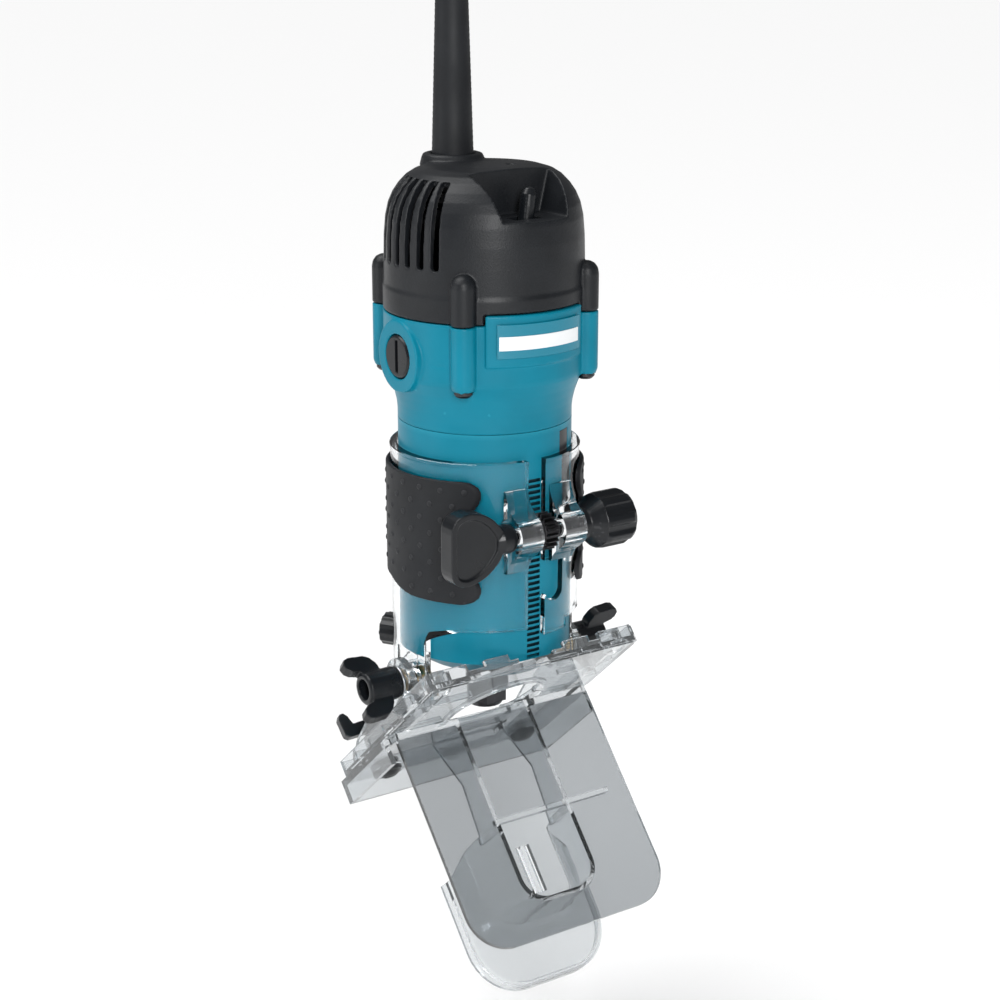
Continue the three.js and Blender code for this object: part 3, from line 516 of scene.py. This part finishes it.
def black_smooth_look():
    look = Material("black_moulding", (0.005, 0.0061, 0.0078), 0.28)
    look.set("Specular IOR Level", 0.3)
    look.mottle(90, 0.1).patchy_gloss(70, 0.24, 0.38)
    # paler edges: partly wear, partly a painted highlight
    look.wear_and_edge_highlight((0.05, 0.053, 0.057), 0.4)
    return look.bump(1800, 0.12, 0.00004)


def rubber_look(name="grip_rubber"):
    look = Material(name, (0.0066, 0.0077, 0.0097), 0.54)
    look.set("Specular IOR Level", 0.28)
    look.mottle(110, 0.12).patchy_gloss(60, 0.5, 0.66)
    # paler edges: partly wear, partly a painted highlight
    look.wear_and_edge_highlight((0.06, 0.062, 0.066), 0.3)
    return look.bump(2600, 0.35, 0.00006).bump(160, 0.05, 0.0002)


def clear_look(name, tint, index, haze=0.0):
    """Clear plastic: its tint, its refractive index and the share of light it scatters."""
    look = Material(name, tint, 0.03)
    look.set("Transmission Weight", 1.0 - haze).set("IOR", index)
    look.mottle(30, 0.01, [min(1, c * 1.01) for c in tint]).patchy_gloss(80, 0.01, 0.05)
    return look.bump(120, 0.03, 0.0002).bump(700, 0.02, 0.00005)


def metal_look(name, colour, roughness, ring_axis="X"):
    look = Material(name, colour, roughness, 1.0)
    look.mottle(200, 0.08).patchy_gloss(150, roughness * 0.8, roughness * 1.3)
    return look.rings(900, 0.25, 0.00004, ring_axis).bump(2500, 0.1, 0.00002)


def plain_plastic_look(name, colour, roughness):
    look = Material(name, colour, roughness)
    look.mottle(100, 0.06).patchy_gloss(60, roughness * 0.85, roughness * 1.15)
    return look.bump(1600, 0.15, 0.00005)


LOOKS = {
    "teal": teal_look(),
    "teal_plate": teal_plate_look(),
    "white": white_print_look(),
    "grain": black_grain_look(),
    "black": black_smooth_look(),
    "rubber": rubber_look(),
    "cord": rubber_look("cord_rubber"),
    "clear": clear_look("clear_polycarbonate", (0.72, 0.745, 0.76), 1.46, 0.07),
    "sleeve": clear_look("clear_sleeve", (0.93, 0.95, 0.96), 1.24),
    "shield": clear_look("clear_shield", (0.385, 0.405, 0.42), 1.4),
    "edges": clear_look("clear_edges", (0.9, 0.92, 0.93), 1.5),
    # painted shade: a dark teal for the faces of the rack slots, in place of the shade that falls in them
    "painted_shade": plain_plastic_look("rack_painted_shade", (0.0, 0.022, 0.035), 0.5),
    "steel": metal_look("machined_steel", (0.52, 0.53, 0.54), 0.28, "Z"),
    "dark_steel": metal_look("blackened_steel", (0.045, 0.045, 0.048), 0.34, "X"),
    "brass": metal_look("turned_brass", (0.72, 0.47, 0.19), 0.22, "X"),
    "copper": metal_look("copper_bars", (0.62, 0.27, 0.13), 0.3, "Z"),
    "nylon": plain_plastic_look("white_nylon", (0.7, 0.68, 0.6), 0.5),
    "carbon": plain_plastic_look("pressed_carbon", (0.03, 0.03, 0.032), 0.6),
}


# ------------------------------------------------------------ motor casing
def boss_places():
    return [(BOSS_CENTRE_R * math.cos(math.radians(a)), BOSS_CENTRE_R * math.sin(math.radians(a)))
            for a in BOSS_ANGLES]


def casing_band():
    top = JOIN_Z - JOIN_GAP
    shell = lathe([(BARREL_R, SEAM_Z), (BARREL_R, 37.5), (32.9, 40.5), (33.7, 44), (34.9, 47.6),
                   (36.2, 50.4), (37.1, 52.2), (BAND_R, 53.6), (BAND_R, top), (BAND_BORE_R, top),
                   (BAND_BORE_R, 56), (29.9, 41), (BARREL_BORE_R, SEAM_Z)], 192)
    boss = [(0, 49.5), (2.2, 50), (3.7, 51.2), (BOSS_R, 53.4), (BOSS_R, top), (0, top)]
    bosses = [lathe(boss, 40, place) for place in boss_places()]
    seats = [rod(13.2, *sided(s, 31, 37.9), "x", (0, BRUSH_Z), 64) for s in (-1, 1)]
    panel = sector(35, 38.3, -33, 33, 60, 78.6)
    add(shell, *bosses, *seats, panel)
    holes = [rod(BOSS_SCREW_R, 51, JOIN_Z + 1, "z", place, 24) for place in boss_places()]
    heads = [rod(3.7, 40, 52, "z", place, 32) for place in boss_places()]
    caps = rod(8.3, -40, 40, "x", (0, BRUSH_Z), 64)
    ledges = [sector(36.6, 39, s * 60 - 5, s * 60 + 5, 59.2, 60.1, 6) for s in (-1, 1)]
    cut(shell, *holes, *heads, caps, *ledges)
    fuse(shell, 0.45, 3)
    finish_piece(shell, "casing_band", "motor", ["motor_housing"],
                 LOOKS["teal"], angle=60)


def barrel_rows():
    """Heights of the barrel's mesh rows, at the edges of the rack slots and of the scale's groove."""
    slots = [PINION_Z - RACK_SLOT / 2 + (i - RACK_SLOTS_BELOW) * RACK_PITCH for i in range(RACK_SLOTS)]
    edges = [z for low in slots for z in (low, low + RACK_SLOT)]
    return sorted([*edges, 20.6, 26, GROOVE_TOP, SEAM_Z]), slots


def barrel_grid(rows, rack_half):
    """A closed ring of mesh columns; some stand at the edges of the rack and of the scale's groove."""
    columns = sorted({a for a in range(-180, 180, 3) if abs(a) > rack_half + 1 and not 22 < a < 38}
                     | {-rack_half, 0, rack_half, GROOVE[0], 27, 30, 33, GROOVE[1]})
    nose = [(11, -57.5), (11, -60), (24, -60), (26.6, -58.4), (30.4, -55.6), (BARREL_R, -54.2)]
    bore = [(BARREL_BORE_R, SEAM_Z), (BARREL_BORE_R, -52), (22, -57.2), (16.2, -57.5)]
    rings = nose + [(BARREL_R, z) for z in rows] + bore
    verts = []
    for r, z in rings:
        for a in columns:
            turn = math.radians(a - 90)
            verts.append((r * math.cos(turn), r * math.sin(turn), z))
    n = len(columns)
    faces = []
    for k in range(len(rings)):
        low, high = k * n, ((k + 1) % len(rings)) * n
        for i in range(n):
            j = (i + 1) % n
            faces.append((low + i, low + j, high + j, high + i))
    return raw_object("barrel", verts, faces)


def casing_barrel():
    """The barrel as a grid of rows and columns, with the rack slots and the scale's groove pushed in."""
    rows, slots = barrel_rows()
    rack_half = math.degrees(math.asin(RACK_HALF_W / BARREL_R))
    barrel = barrel_grid(rows, rack_half)
    shape = bmesh.new()
    shape.from_mesh(barrel.data)
    bmesh.ops.recalc_face_normals(shape, faces=shape.faces)
    push_in(shape, lambda a, z: abs(a) < rack_half and any(low < z < low + RACK_SLOT for low in slots),
            RACK_DEPTH)
    push_in(shape, lambda a, z: GROOVE[0] < a < GROOVE[1] and -1 < z < GROOVE_TOP, GROOVE_DEPTH)
    shape.to_mesh(barrel.data)
    shape.free()
    finish_piece(barrel, "casing_barrel", "motor", ["motor_housing"],
                 LOOKS["teal"], angle=30)
    # paints shade into the rack slots
    paint_rack_shade(barrel)


def paint_rack_shade(barrel):
    """Paints shade into the rack slots: their floors and walls get a dark teal that stands for the shade in
    them.
    """
    barrel.data.materials.append(LOOKS["painted_shade"].block)
    for face in barrel.data.polygons:
        x, y, z = face.center / MM
        in_rack = abs(x) < RACK_HALF_W + 0.1 and y < 0 and z > -53
        if in_rack and math.hypot(x, y) < BARREL_R - 0.4:
            face.material_index = 1


def push_in(shape, wanted, depth):
    """Sinks the outer faces of the barrel that are wanted by angle and height."""
    chosen = []
    for face in shape.faces:
        centre = face.calc_center_median()
        angle = math.degrees(math.atan2(centre.x, -centre.y))
        if centre.xy.length > BARREL_R - 0.4 and wanted(angle, centre.z):
            chosen.append(face)
    moved = bmesh.ops.extrude_face_region(shape, geom=chosen)["geom"]
    bmesh.ops.delete(shape, geom=chosen, context="FACES")
    for vert in (g for g in moved if isinstance(g, bmesh.types.BMVert)):
        flat = vert.co.xy.normalized() * depth
        vert.co.x -= flat.x
        vert.co.y -= flat.y


DOME = [(BAND_R, 83.6), (36.95, 85), (36.9, 94), (36.7, 102), (36.1, 109), (35.0, 113.8), (33.4, 117.4),
        (31.2, 120.6), (28.6, 123.3), (25.4, 125.3), (21, 126.6), (12, 127.1), (0, 127.2)]


def rear_cover():
    low = JOIN_Z + JOIN_GAP
    outer = [(0, low), (BAND_R, low), *DOME]
    shell = lathe(outer, 192)
    hollow = lathe([(0, 70), (BAND_BORE_R, 70), (BAND_BORE_R, 94), (34.0, 103), (32.6, 111.5),
                    (30.2, 117.2), (26.6, 121.4), (20.6, 124.2), (0, 125)], 96)
    cut(shell, hollow)
    tray = combine(lathe(outer, 192), [block(-21, 21, -41, -13, 108.2, 130)], "INTERSECT")
    boss = [(0, low), (BOSS_R, low), (BOSS_R, 88.6), (4.1, 90.6), (3.0, 92.2), (1.4, 93.1), (0, 93.3)]
    bosses = [lathe(boss, 40, place) for place in boss_places()]
    collar = lathe([(GUARD_HOLE_R, 124.5), (12.4, 124.5), (11.6, 127.6), (11, 128.8), (9.8, 129.2),
                    (GUARD_HOLE_R, 129)], 64, (0, GUARD_Y))
    add(shell, tray, *bosses, collar)
    recess = prism([(-13.6, 110.8), (13.6, 110.8), (18.4, 131), (-18.4, 131)], -44, -15.8, "y")
    lever_slot = block(-5.5, 5.5, -28.4, -21.6, 104, 112)
    guard_hole = rod(GUARD_HOLE_R, 110, 132, "z", (0, GUARD_Y), 64)
    dimple = rod(1.6, 125.6, 132, "z", (7.5, -6), 32)
    screw_holes = [rod(BOSS_SCREW_R, 70, 88.6, "z", place, 24) for place in boss_places()]
    notch = sector(34, 41, -34, 34, 70, 79)
    cut(shell, recess, lever_slot, guard_hole, dimple, *screw_holes, notch, *cover_vents())
    fuse(shell, 0.45, 2)
    finish_piece(shell, "rear_cover_moulding", "motor", ["rear_cover"],
                 LOOKS["grain"], angle=60)


def cover_vents():
    """Upright slots on both sides of the cover, with chamfered lower ends."""
    half = VENT_HALF_W
    outline = [(-half, 94.2), (-0.9, 93.5), (0.9, 93.5), (half, 94.2), (half, 123.6), (-half, 123.6)]
    slots = []
    for side in (-1, 1):
        for i in range(VENTS_A_SIDE):
            slot = prism(outline, 26.5, 42, "x")
            bearing = side * (VENT_START_DEG + VENT_STEP_DEG * i) - 90
            slot.data.transform(Matrix.Rotation(math.radians(bearing), 4, "Z"))
            slots.append(slot)
    return slots


def name_plate_print():
    bar = sector(39.2, 39.5, -26, 25, 66.4, 71.4, 48)
    finish_piece(bar, "name_plate_bar", "motor", [], LOOKS["white"], bevel=0.12)


def cord_guard():
    profile = [(3.85, 111.5), (9.6, 111.5), (9.6, 114.6), (7.9, 115.2), (7.8, 124)]
    foot = 127
    for i in range(GUARD_RINGS):
        z = foot + i * GUARD_RING_PITCH
        body = 7.75 - (z - foot) * 0.030
        profile += [(body, z), (body + 0.03, z + 1.5)]
    profile += [(5.85, GUARD_TOP - 0.5), (5.3, GUARD_TOP), (3.85, GUARD_TOP)]
    guard = lathe(profile, 64, (0, GUARD_Y))
    finish_piece(guard, "cord_guard_sleeve", "motor", ["cord_guard"],
                 LOOKS["cord"], angle=40)


# ------------------------------------------------------------ base sleeve and grips
def clamp_boss(x0, x1):
    """A clamp boss on the pinion's axis, with the gusset that carries it to the sleeve."""
    gusset = [*curve_points((-34, 14), (-35.4, 14), (-36.2, 9.2, -39.2, 6.6), (-41.2, 5.2, -43.4, 3.9)),
              *arc(PINION_Y, PINION_Z, CLAMP_R, 150, 225, 12),
              *curve_points((-41.4, -9.6), (-37.2, -11.6, -36.2, -17), (-34, -17))]
    return [prism(gusset, x0, x1, "x"), rod(CLAMP_R, x0, x1, "x", (PINION_Y, PINION_Z), 64)]


def base_sleeve():
    rim = SLEEVE_OUT + 0.3
    wall = lathe([(SLEEVE_IN, SLEEVE_Z0), (SLEEVE_OUT, SLEEVE_Z0), (SLEEVE_OUT, RIM_Z - 1.6),
                  (rim, RIM_Z - 1.2), (rim, RIM_Z - 0.3), (SLEEVE_OUT, RIM_Z), (SLEEVE_IN, RIM_Z)], 160)
    legs = []
    for s in (-1, 1):
        legs.append(rod(LEG_R, *sided(s, 28.6, 35.9), "x", (0, PIVOT_Z), 56))
        legs.append(block(*sided(s, 33.4, 35.4), -LEG_R, LEG_R, PIVOT_Z, PIVOT_Z + 12))
    guide = rod(5, -36.1, -33, "y", (0, 0), 40)
    guide.data.transform(Matrix.Translation((0, 0, -58)) @ Matrix.Rotation(math.radians(212), 4, "Z"))
    add(wall, *legs, *clamp_boss(-14.4, -4.8), *clamp_boss(4.8, 14.4), guide)
    barrel = rod(SLEEVE_IN, SLEEVE_Z0 + 9.5, RIM_Z + 1, "z", (0, 0), 160)
    leg_holes = rod(4.6, -40, 40, "x", (0, PIVOT_Z), 40)
    shaft_hole = rod(3.6, -20, 20, "x", (PINION_Y, PINION_Z), 40)
    cut(wall, barrel, *front_openings(), leg_holes, shaft_hole)
    tidy_mesh(wall, 0.004)
    finish_piece(wall, "base_sleeve_clear", "base", ["base_sleeve"],
                 LOOKS["sleeve"], bevel=0.45)
    brighten_edges(wall)


def front_openings():
    """The low window of the sleeve, the slit beside the rack and the hook-shaped notch of the slit."""
    left, right = SLIT
    window = prism([(-34, -80), (-34, -56), *arc(-24, -51.5, 11, 165, 90, 10), (right - 1.6, -40.5),
                    (right - 1.6, -44), (15, -44), (15, -40.5), *arc(24, -51.5, 11, 90, 15, 10),
                    (34, -56), (34, -80)], -40, -10.2, "y")
    slit = block(left, right, -60, -30, SLEEVE_Z0 - 1, RIM_Z + 1)
    hook = [(right - 1, -15), (right - 1, -31), *arc(8, -27, 4.6, 200, 340, 12), (12.6, -15)]
    return [window, slit, prism(hook, -40, -30, "y")]


def brighten_edges(wall):
    """Gives the edges of the sleeve and its clamp bosses the plastic that bends light more."""
    wall.data.materials.append(LOOKS["edges"].block)
    for face in wall.data.polygons:
        out = Vector((face.center.x, face.center.y, 0))
        on_wall = SLEEVE_IN - 0.5 < out.length / MM < SLEEVE_OUT + 0.5
        if not on_wall or abs(face.normal.dot(out.normalized())) < 0.9:
            face.material_index = 1


def grip_outline():
    """Outline of a grip seen from the side, in (y, z)."""
    return curve_points((31, 17), (-24.6, 17.6), (-29.2, 17.6, -29.4, 12.6), (-29.4, 8.4, -25.8, 3.6),
                        (-25.8, -18), (-29.4, -20, -29.4, -24), (-29.2, -29.2, -24.6, -29.4),
                        (-6, -29.4), (2, -28.6, 10, -26), (31, -26))


def inside(points, x, y, margin):
    """True if a point is in an outline and at least the margin from its edge."""
    hit = False
    for (x0, y0), (x1, y1) in zip(points, points[1:] + points[:1]):
        if (y0 > y) != (y1 > y) and x < x0 + (y - y0) * (x1 - x0) / (y1 - y0):
            hit = not hit
        along = Vector((x1 - x0, y1 - y0))
        reach = Vector((x - x0, y - y0))
        t = 0 if along.length == 0 else max(0, min(1, reach.dot(along) / along.length_squared))
        if (reach - along * t).length < margin:
            return False
    return hit


def grip_dots(side):
    """Places of the dots of a grip, in staggered rows, as (angle from the front, height)."""
    reach = GRIP_OUT - 0.1
    outline = grip_outline()
    dots = []
    row = 0
    z = -25.4
    while z < 15:
        start = 0 if row % 2 == 0 else DOT_PITCH / 2
        k = 0
        while k * DOT_PITCH + start < 75:
            angle = (38 + math.degrees((k * DOT_PITCH + start) / reach)) * side
            y = -math.cos(math.radians(angle)) * reach
            if inside(outline, y, z, 2.6) and abs(angle) < 146:
                dots.append((angle, z))
            k += 1
        z += DOT_ROW
        row += 1
    return dots


def grip(side, word):
    skin = lathe([(GRIP_IN, -32), (GRIP_OUT, -32), (GRIP_OUT, 20), (GRIP_IN, 20)], 192)
    combine(skin, [prism(grip_outline(), *sided(side, 6, 41), "x")], "INTERSECT")
    fuse(skin, 0.4, 3)
    shape = bmesh.new()
    shape.from_mesh(skin.data)
    dot_reach = GRIP_OUT - 0.15
    for angle, z in grip_dots(side):
        turn = math.radians(angle - 90)
        out = Vector((math.cos(turn), math.sin(turn), 0))
        centre = Vector((out.x * dot_reach, out.y * dot_reach, z))
        place = Matrix.Translation(centre) @ out.to_track_quat("Z", "Y").to_matrix().to_4x4()
        place = place @ Matrix.Diagonal((DOT_R, DOT_R, DOT_HEIGHT, 1))
        bmesh.ops.create_icosphere(shape, subdivisions=2, radius=1, matrix=place)
    shape.to_mesh(skin.data)
    shape.free()
    finish_piece(skin, f"grip_{word}_dotted", "base", [f"grip_{word}"],
                 LOOKS["rubber"], angle=60)


# ------------------------------------------------------------ chip deflector, in the sole's frame
def scoop_section(half, top, bottom, corner, y, steps=10):
    """One U of the scoop, from its top left corner round the bottom to its top right corner."""
    points = [(-half, top - (top - bottom - corner) * i / 4) for i in range(4)]
    points += arc(-half + corner, bottom + corner, corner, 180, 270, steps)
    points += arc(half - corner, bottom + corner, corner, 270, 360, steps)
    points += [(half, top - (top - bottom - corner) * i / 4) for i in range(3, -1, -1)]
    return [(x, y, z) for x, z in points]


def scoop():
    """The funnel behind the shield: U sections that widen into a flared rim with a lip."""
    sections = [
        scoop_section(16.3, -60.6, -93.6, 10, 10.6),
        scoop_section(17.2, -60.8, -94.0, 10.5, 18),
        scoop_section(18.6, -61.5, -94.6, 11, 28),
        scoop_section(19.8, -62.6, -95.6, 11.5, 35),
        scoop_section(21.5, -64.4, -99.0, 13, 38),
        scoop_section(25.0, -67.6, -108.0, 16, 39.8),
        scoop_section(28.2, -70.6, -116.6, 18, 40.6),
        scoop_section(29.0, -71.0, -117.6, 18.6, 41.6),
        scoop_section(29.2, -71.0, -117.8, 18.8, 45.6)]
    n = len(sections[0])
    verts = [p for section in sections for p in section]
    faces = [(k * n + i, k * n + i + 1, (k + 1) * n + i + 1, (k + 1) * n + i)
             for k in range(len(sections) - 1) for i in range(n - 1)]
    funnel = raw_object("scoop", verts, faces)
    thick = funnel.modifiers.new("wall", "SOLIDIFY")
    thick.thickness = 1.8
    thick.offset = 0
    settle(funnel)
    return tidy_mesh(funnel)


def shield():
    half, corner, turn_z = SHIELD_HALF_W, SHIELD_CORNER_R, SHIELD_LOW + SHIELD_CORNER_R
    outline = [(-half, FLANGE_TOP), (-half, turn_z), *arc(-half + corner, turn_z, corner, 180, 270, 20),
               *arc(half - corner, turn_z, corner, 270, 360, 20), (half, FLANGE_TOP)]
    return prism(outline, SHIELD_Y - SHIELD_HALF_T, SHIELD_Y + SHIELD_HALF_T, "y")


def flange():
    """The deflector's flat flange under the sole, with rims down its sides and its back."""
    wide, front, back = FLANGE_HALF_W, FLANGE_FRONT, FLANGE_BACK
    root = FLANGE_UNDER + 0.3
    sheets = [block(-SHIELD_HALF_W, SHIELD_HALF_W, SHIELD_Y - SHIELD_HALF_T, front + 1,
                    FLANGE_UNDER, FLANGE_TOP),
              block(-wide, wide, front, back, FLANGE_UNDER, FLANGE_TOP)]
    sides = [block(*sided(s, wide, wide - 2), front, back, FLANGE_RIM, root) for s in (-1, 1)]
    rear = block(-wide, wide, back - 2, back, FLANGE_RIM, root)
    screw_pads = [rod(5.4, -22, root, "z", (s * 32.4, 46), 40) for s in (-1, 1)]
    return [*sheets, *sides, rear, *screw_pads]


def chip_deflector():
    body = shield()
    root = FLANGE_UNDER + 0.3
    web = [(SHIELD_Y, root), (34, root), (24, -40), (27, -64), (SHIELD_Y, -64)]
    webs = [prism(web, *sided(s, WEB_IN, WEB_OUT), "x") for s in (-1, 1)]
    bar = block(-17, 36, SHIELD_Y + 0.8, SHIELD_Y + 4.4, -61, -59)
    add(body, *flange(), *webs, bar, scoop())
    slots = [block(x - 0.85, x + 0.85, 5, 14, -90.6, -72) for x in (-12.6, -8.8)]
    bit_way = block(-WEB_IN, WEB_IN, SHIELD_Y + SHIELD_HALF_T + 0.05, 40, -30, -10)
    cut(body, bit_way, *slots)
    tidy_mesh(body, 0.004)
    finish_piece(body, "chip_deflector_clear", "sole", ["chip_deflector"],
                 LOOKS["clear"], bevel=0.4, matrix=to_sole())
    tint_shield(body)


def tint_shield(body):
    """Gives the broad faces of the shield their greyer plastic, except in front of the scoop."""
    body.data.materials.append(LOOKS["shield"].block)
    back_to_flat = (Matrix.Scale(MM, 4) @ to_sole()).inverted()
    for face in body.data.polygons:
        centre = back_to_flat @ face.center
        along = back_to_flat.to_3x3() @ face.normal
        corners = [back_to_flat @ body.data.vertices[i].co for i in face.vertices]
        on_face = abs(abs(centre.y - SHIELD_Y) - SHIELD_HALF_T) < 0.05
        broad = on_face and abs(along.normalized().y) > 0.95
        in_scoop = all(abs(corner.x) < 16.6 and -94 < corner.z < -58 for corner in corners)
        if broad and centre.z < FLANGE_UNDER and not in_scoop:
            face.material_index = 1


# ------------------------------------------------------------ mouldings softened from their CAD nodes
def soften_node(node, name, voxel, rounds, outward=0.0):
    """A copy of a CAD node with the rounded corners of a moulding, in its place or a hair further out."""
    copy = bpy.data.objects.new(name, NODES[node].data.copy())
    bpy.context.scene.collection.objects.link(copy)
    copy.data.transform(Matrix.Scale(1 / MM, 4))
    tidy_mesh(copy, 0.002)
    fuse(copy, voxel, rounds)
    copy.data.transform(Matrix.Translation((outward, 0, 0)))
    finish_piece(copy, name, NODES[node]["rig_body"], [node], LOOKS["black"], angle=60)


def dress_node(node, look):
    """A CAD node that stays: its edges are broken and it gets its material."""
    piece = NODES[node]
    piece.data.materials.clear()
    piece.data.materials.append(look.block)
    for face in piece.data.polygons:
        face.use_smooth = True
    weld = piece.modifiers.new("weld", "WELD")
    weld.merge_threshold = 2e-6
    edge = piece.modifiers.new("edge", "BEVEL")
    edge.width = BROKEN_EDGE * MM
    edge.segments = 2
    edge.limit_method = "ANGLE"
    edge.angle_limit = math.radians(CREASE_DEG)
    even = piece.modifiers.new("even", "WEIGHTED_NORMAL")
    even.keep_sharp = False


SOFTENED = {
    # node: (name of the piece, size of a voxel in mm, rounds of smoothing)
    "switch_toggle": ("switch_lever", 0.2, 2),
    "adjusting_knob": ("adjusting_knob_moulding", 0.3, 4),
    "clamp_paddle": ("clamp_paddle_moulding", 0.3, 4),
    "guide_clamp_knob": ("guide_knob_moulding", 0.25, 2),
    "wing_nut_left": ("wing_nut_left_moulding", 0.28, 4),
    "wing_nut_right": ("wing_nut_right_moulding", 0.28, 4),
    "guide_wing_screw": ("guide_wing_screw_moulding", 0.28, 4),
}
SIDES = ("left", "right")
KEPT = {
    "teal_plate": ["name_plate"],
    "black": ["depth_scale", "bearing_bracket", "cord_clamp", "switch_body", "cord_tie",
              *[f"deflector_screw_{i + 1}" for i in range(2)], *[f"brush_cap_{side}" for side in SIDES]],
    "steel": ["field_stator", "armature_core", "rotor_shaft", "rear_bearing", "front_bearing",
              "bearing_retainer", "collet_cone",
              *[f"pivot_{part}_{side}" for part in ("bolt", "washer") for side in SIDES]],
    "dark_steel": ["collet_nut", "pinion_shaft", *[f"cover_screw_{i + 1}" for i in range(4)]],
    "brass": [f"{part}_{side}" for part in ("brush_holder", "pivot_bush") for side in SIDES],
    "carbon": [f"carbon_brush_{side}" for side in SIDES],
    "copper": ["commutator"],
    "nylon": ["air_baffle", "cooling_fan"],
    "clear": ["sole_plate"],
}


# ------------------------------------------------------------ cord
def to_cord():
    return Matrix.Translation((0, GUARD_Y, 0)) @ Matrix.Rotation(-math.radians(CORD_BEARING), 4, "Z")


class Route:
    """Points of the cord in its own frame: x across, y away from the tool, z up."""

    def __init__(self, start):
        self.points = [start]

    def line(self, end, steps=6):
        """An even climb or fall that eases from one lane to the next."""
        x0, y0, z0 = self.points[-1]
        x1, y1, z1 = end
        for i in range(1, steps + 1):
            t = i / steps
            across = (1 - math.cos(math.pi * t)) / 2
            self.points.append((x0 + (x1 - x0) * across, y0 + (y1 - y0) * across, z0 + (z1 - z0) * t))

    def fold(self, radius, direction, over, steps=12):
        """Half a turn. Direction is 1 away from the tool or -1 towards it; over is 1 on top or -1 below."""
        x, y, z = self.points[-1]
        for i in range(1, steps + 1):
            a = math.pi * i / steps
            along = direction * radius * (1 - math.cos(a))
            self.points.append((x, y + along, z + over * radius * math.sin(a)))


def cord_route():
    """Up from the guard, over an arch and down into a hank: outer folds, inner folds back, the plug."""
    top = HANK_TOP - HANK_OUTER_R - CORD_R
    low = HANK_BOTTOM + HANK_OUTER_R + CORD_R
    middle = 2 * ARCH_R - HANK_OUTER_R
    near_out, far_out = middle - HANK_OUTER_R, middle + HANK_OUTER_R
    near_in, far_in = middle - HANK_INNER_R, middle + HANK_INNER_R
    route = Route((0, 0, GUARD_TOP))
    route.line((0, 0, GUARD_TOP + 16), 3)
    route.fold(ARCH_R, 1, 1, 16)
    lane = len(HANK_LANES) - 1
    route.line((HANK_LANES[lane], far_out, HANK_TOP), 8)
    route.line((HANK_LANES[lane], far_out, top), 2)
    while lane > 0:
        route.line((HANK_LANES[lane], far_out, low))
        route.fold(HANK_OUTER_R, -1, -1)
        route.line((HANK_LANES[lane - 1], near_out, top))
        route.fold(HANK_OUTER_R, 1, 1)
        lane -= 1
    route.line((HANK_LANES[0], far_out, low))
    route.fold((far_out - near_in) / 2, -1, -1)
    while lane < len(HANK_LANES):
        route.line((HANK_LANES[lane], near_in, top))
        route.fold(HANK_INNER_R, 1, 1)
        lane += 1
        if lane < len(HANK_LANES):
            route.line((HANK_LANES[lane], far_in, low))
            route.fold(HANK_INNER_R, -1, -1)
    route.line((PLUG[0], PLUG[1], PLUG[2] + 2), 10)
    route.points.append((PLUG[0], PLUG[1], PLUG[2] - 1))
    return route.points


def power_cord():
    points = [to_cord() @ Vector(p) for p in cord_route()]
    data = bpy.data.curves.new("power_cord_run", "CURVE")
    data.dimensions = "3D"
    data.bevel_depth = CORD_R * MM
    data.bevel_resolution = 4
    data.use_fill_caps = True
    spline = data.splines.new("POLY")
    spline.points.add(len(points) - 1)
    for target, point in zip(spline.points, points):
        target.co = (*(point * MM), 1)
    spline.use_smooth = True
    cord = bpy.data.objects.new("power_cord_run", data)
    bpy.context.scene.collection.objects.link(cord)
    data.materials.append(LOOKS["cord"].block)
    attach(cord, "motor")
    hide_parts("power_cord", "cord_hank", "plug_lead")
    return cord


def mains_plug():
    across, away, corner = 4.6, 14.1, 3.4
    face = []
    for i, (u, v) in enumerate([(across, away), (-across, away), (-across, -away), (across, -away)]):
        face += arc(u, v, corner, 90 * i, 90 * i + 90, 6)
    body = prism(face, -42, -8)
    relief = lathe([(0, -11), (6.4, -11), (5.8, -7), (5.0, -3), (4.7, 0), (0, 0)], 32)
    add(body, relief)
    waist = [rod(2.2, -9, 9, "x", (s * 18.6, -24), 32) for s in (-1, 1)]
    cut(body, *waist)
    fuse(body, 0.5, 4)
    body.data.transform(Matrix.Translation(PLUG))
    plug = finish_piece(body, "mains_plug_body", "motor", ["mains_plug"],
                        LOOKS["black"], angle=60, matrix=to_cord())
    pins = []
    for s, word in ((-1, "near"), (1, "far")):
        pin = lathe([(0, -61), (1.2, -60.8), (2, -59.4), (2, -41), (0, -41)], 24, (0, s * 9.5))
        pin.data.transform(Matrix.Translation(PLUG))
        pins.append(finish_piece(pin, f"mains_plug_pin_{word}", "motor", [], LOOKS["steel"],
                                 matrix=to_cord()))
    return [plug, *pins]


make_camera()
make_lights()
make_room()
make_floor()
power_cord()
mains_plug()
casing_band()
casing_barrel()
rear_cover()
name_plate_print()
cord_guard()
base_sleeve()
for side, word in ((-1, "left"), (1, "right")):
    grip(side, word)
chip_deflector()
for node, (name, voxel, rounds) in SOFTENED.items():
    soften_node(node, name, voxel, rounds, NUT_OUTWARD if node == "wing_nut_right" else 0)
for look, nodes in KEPT.items():
    for node in nodes:
        dress_node(node, LOOKS[look])
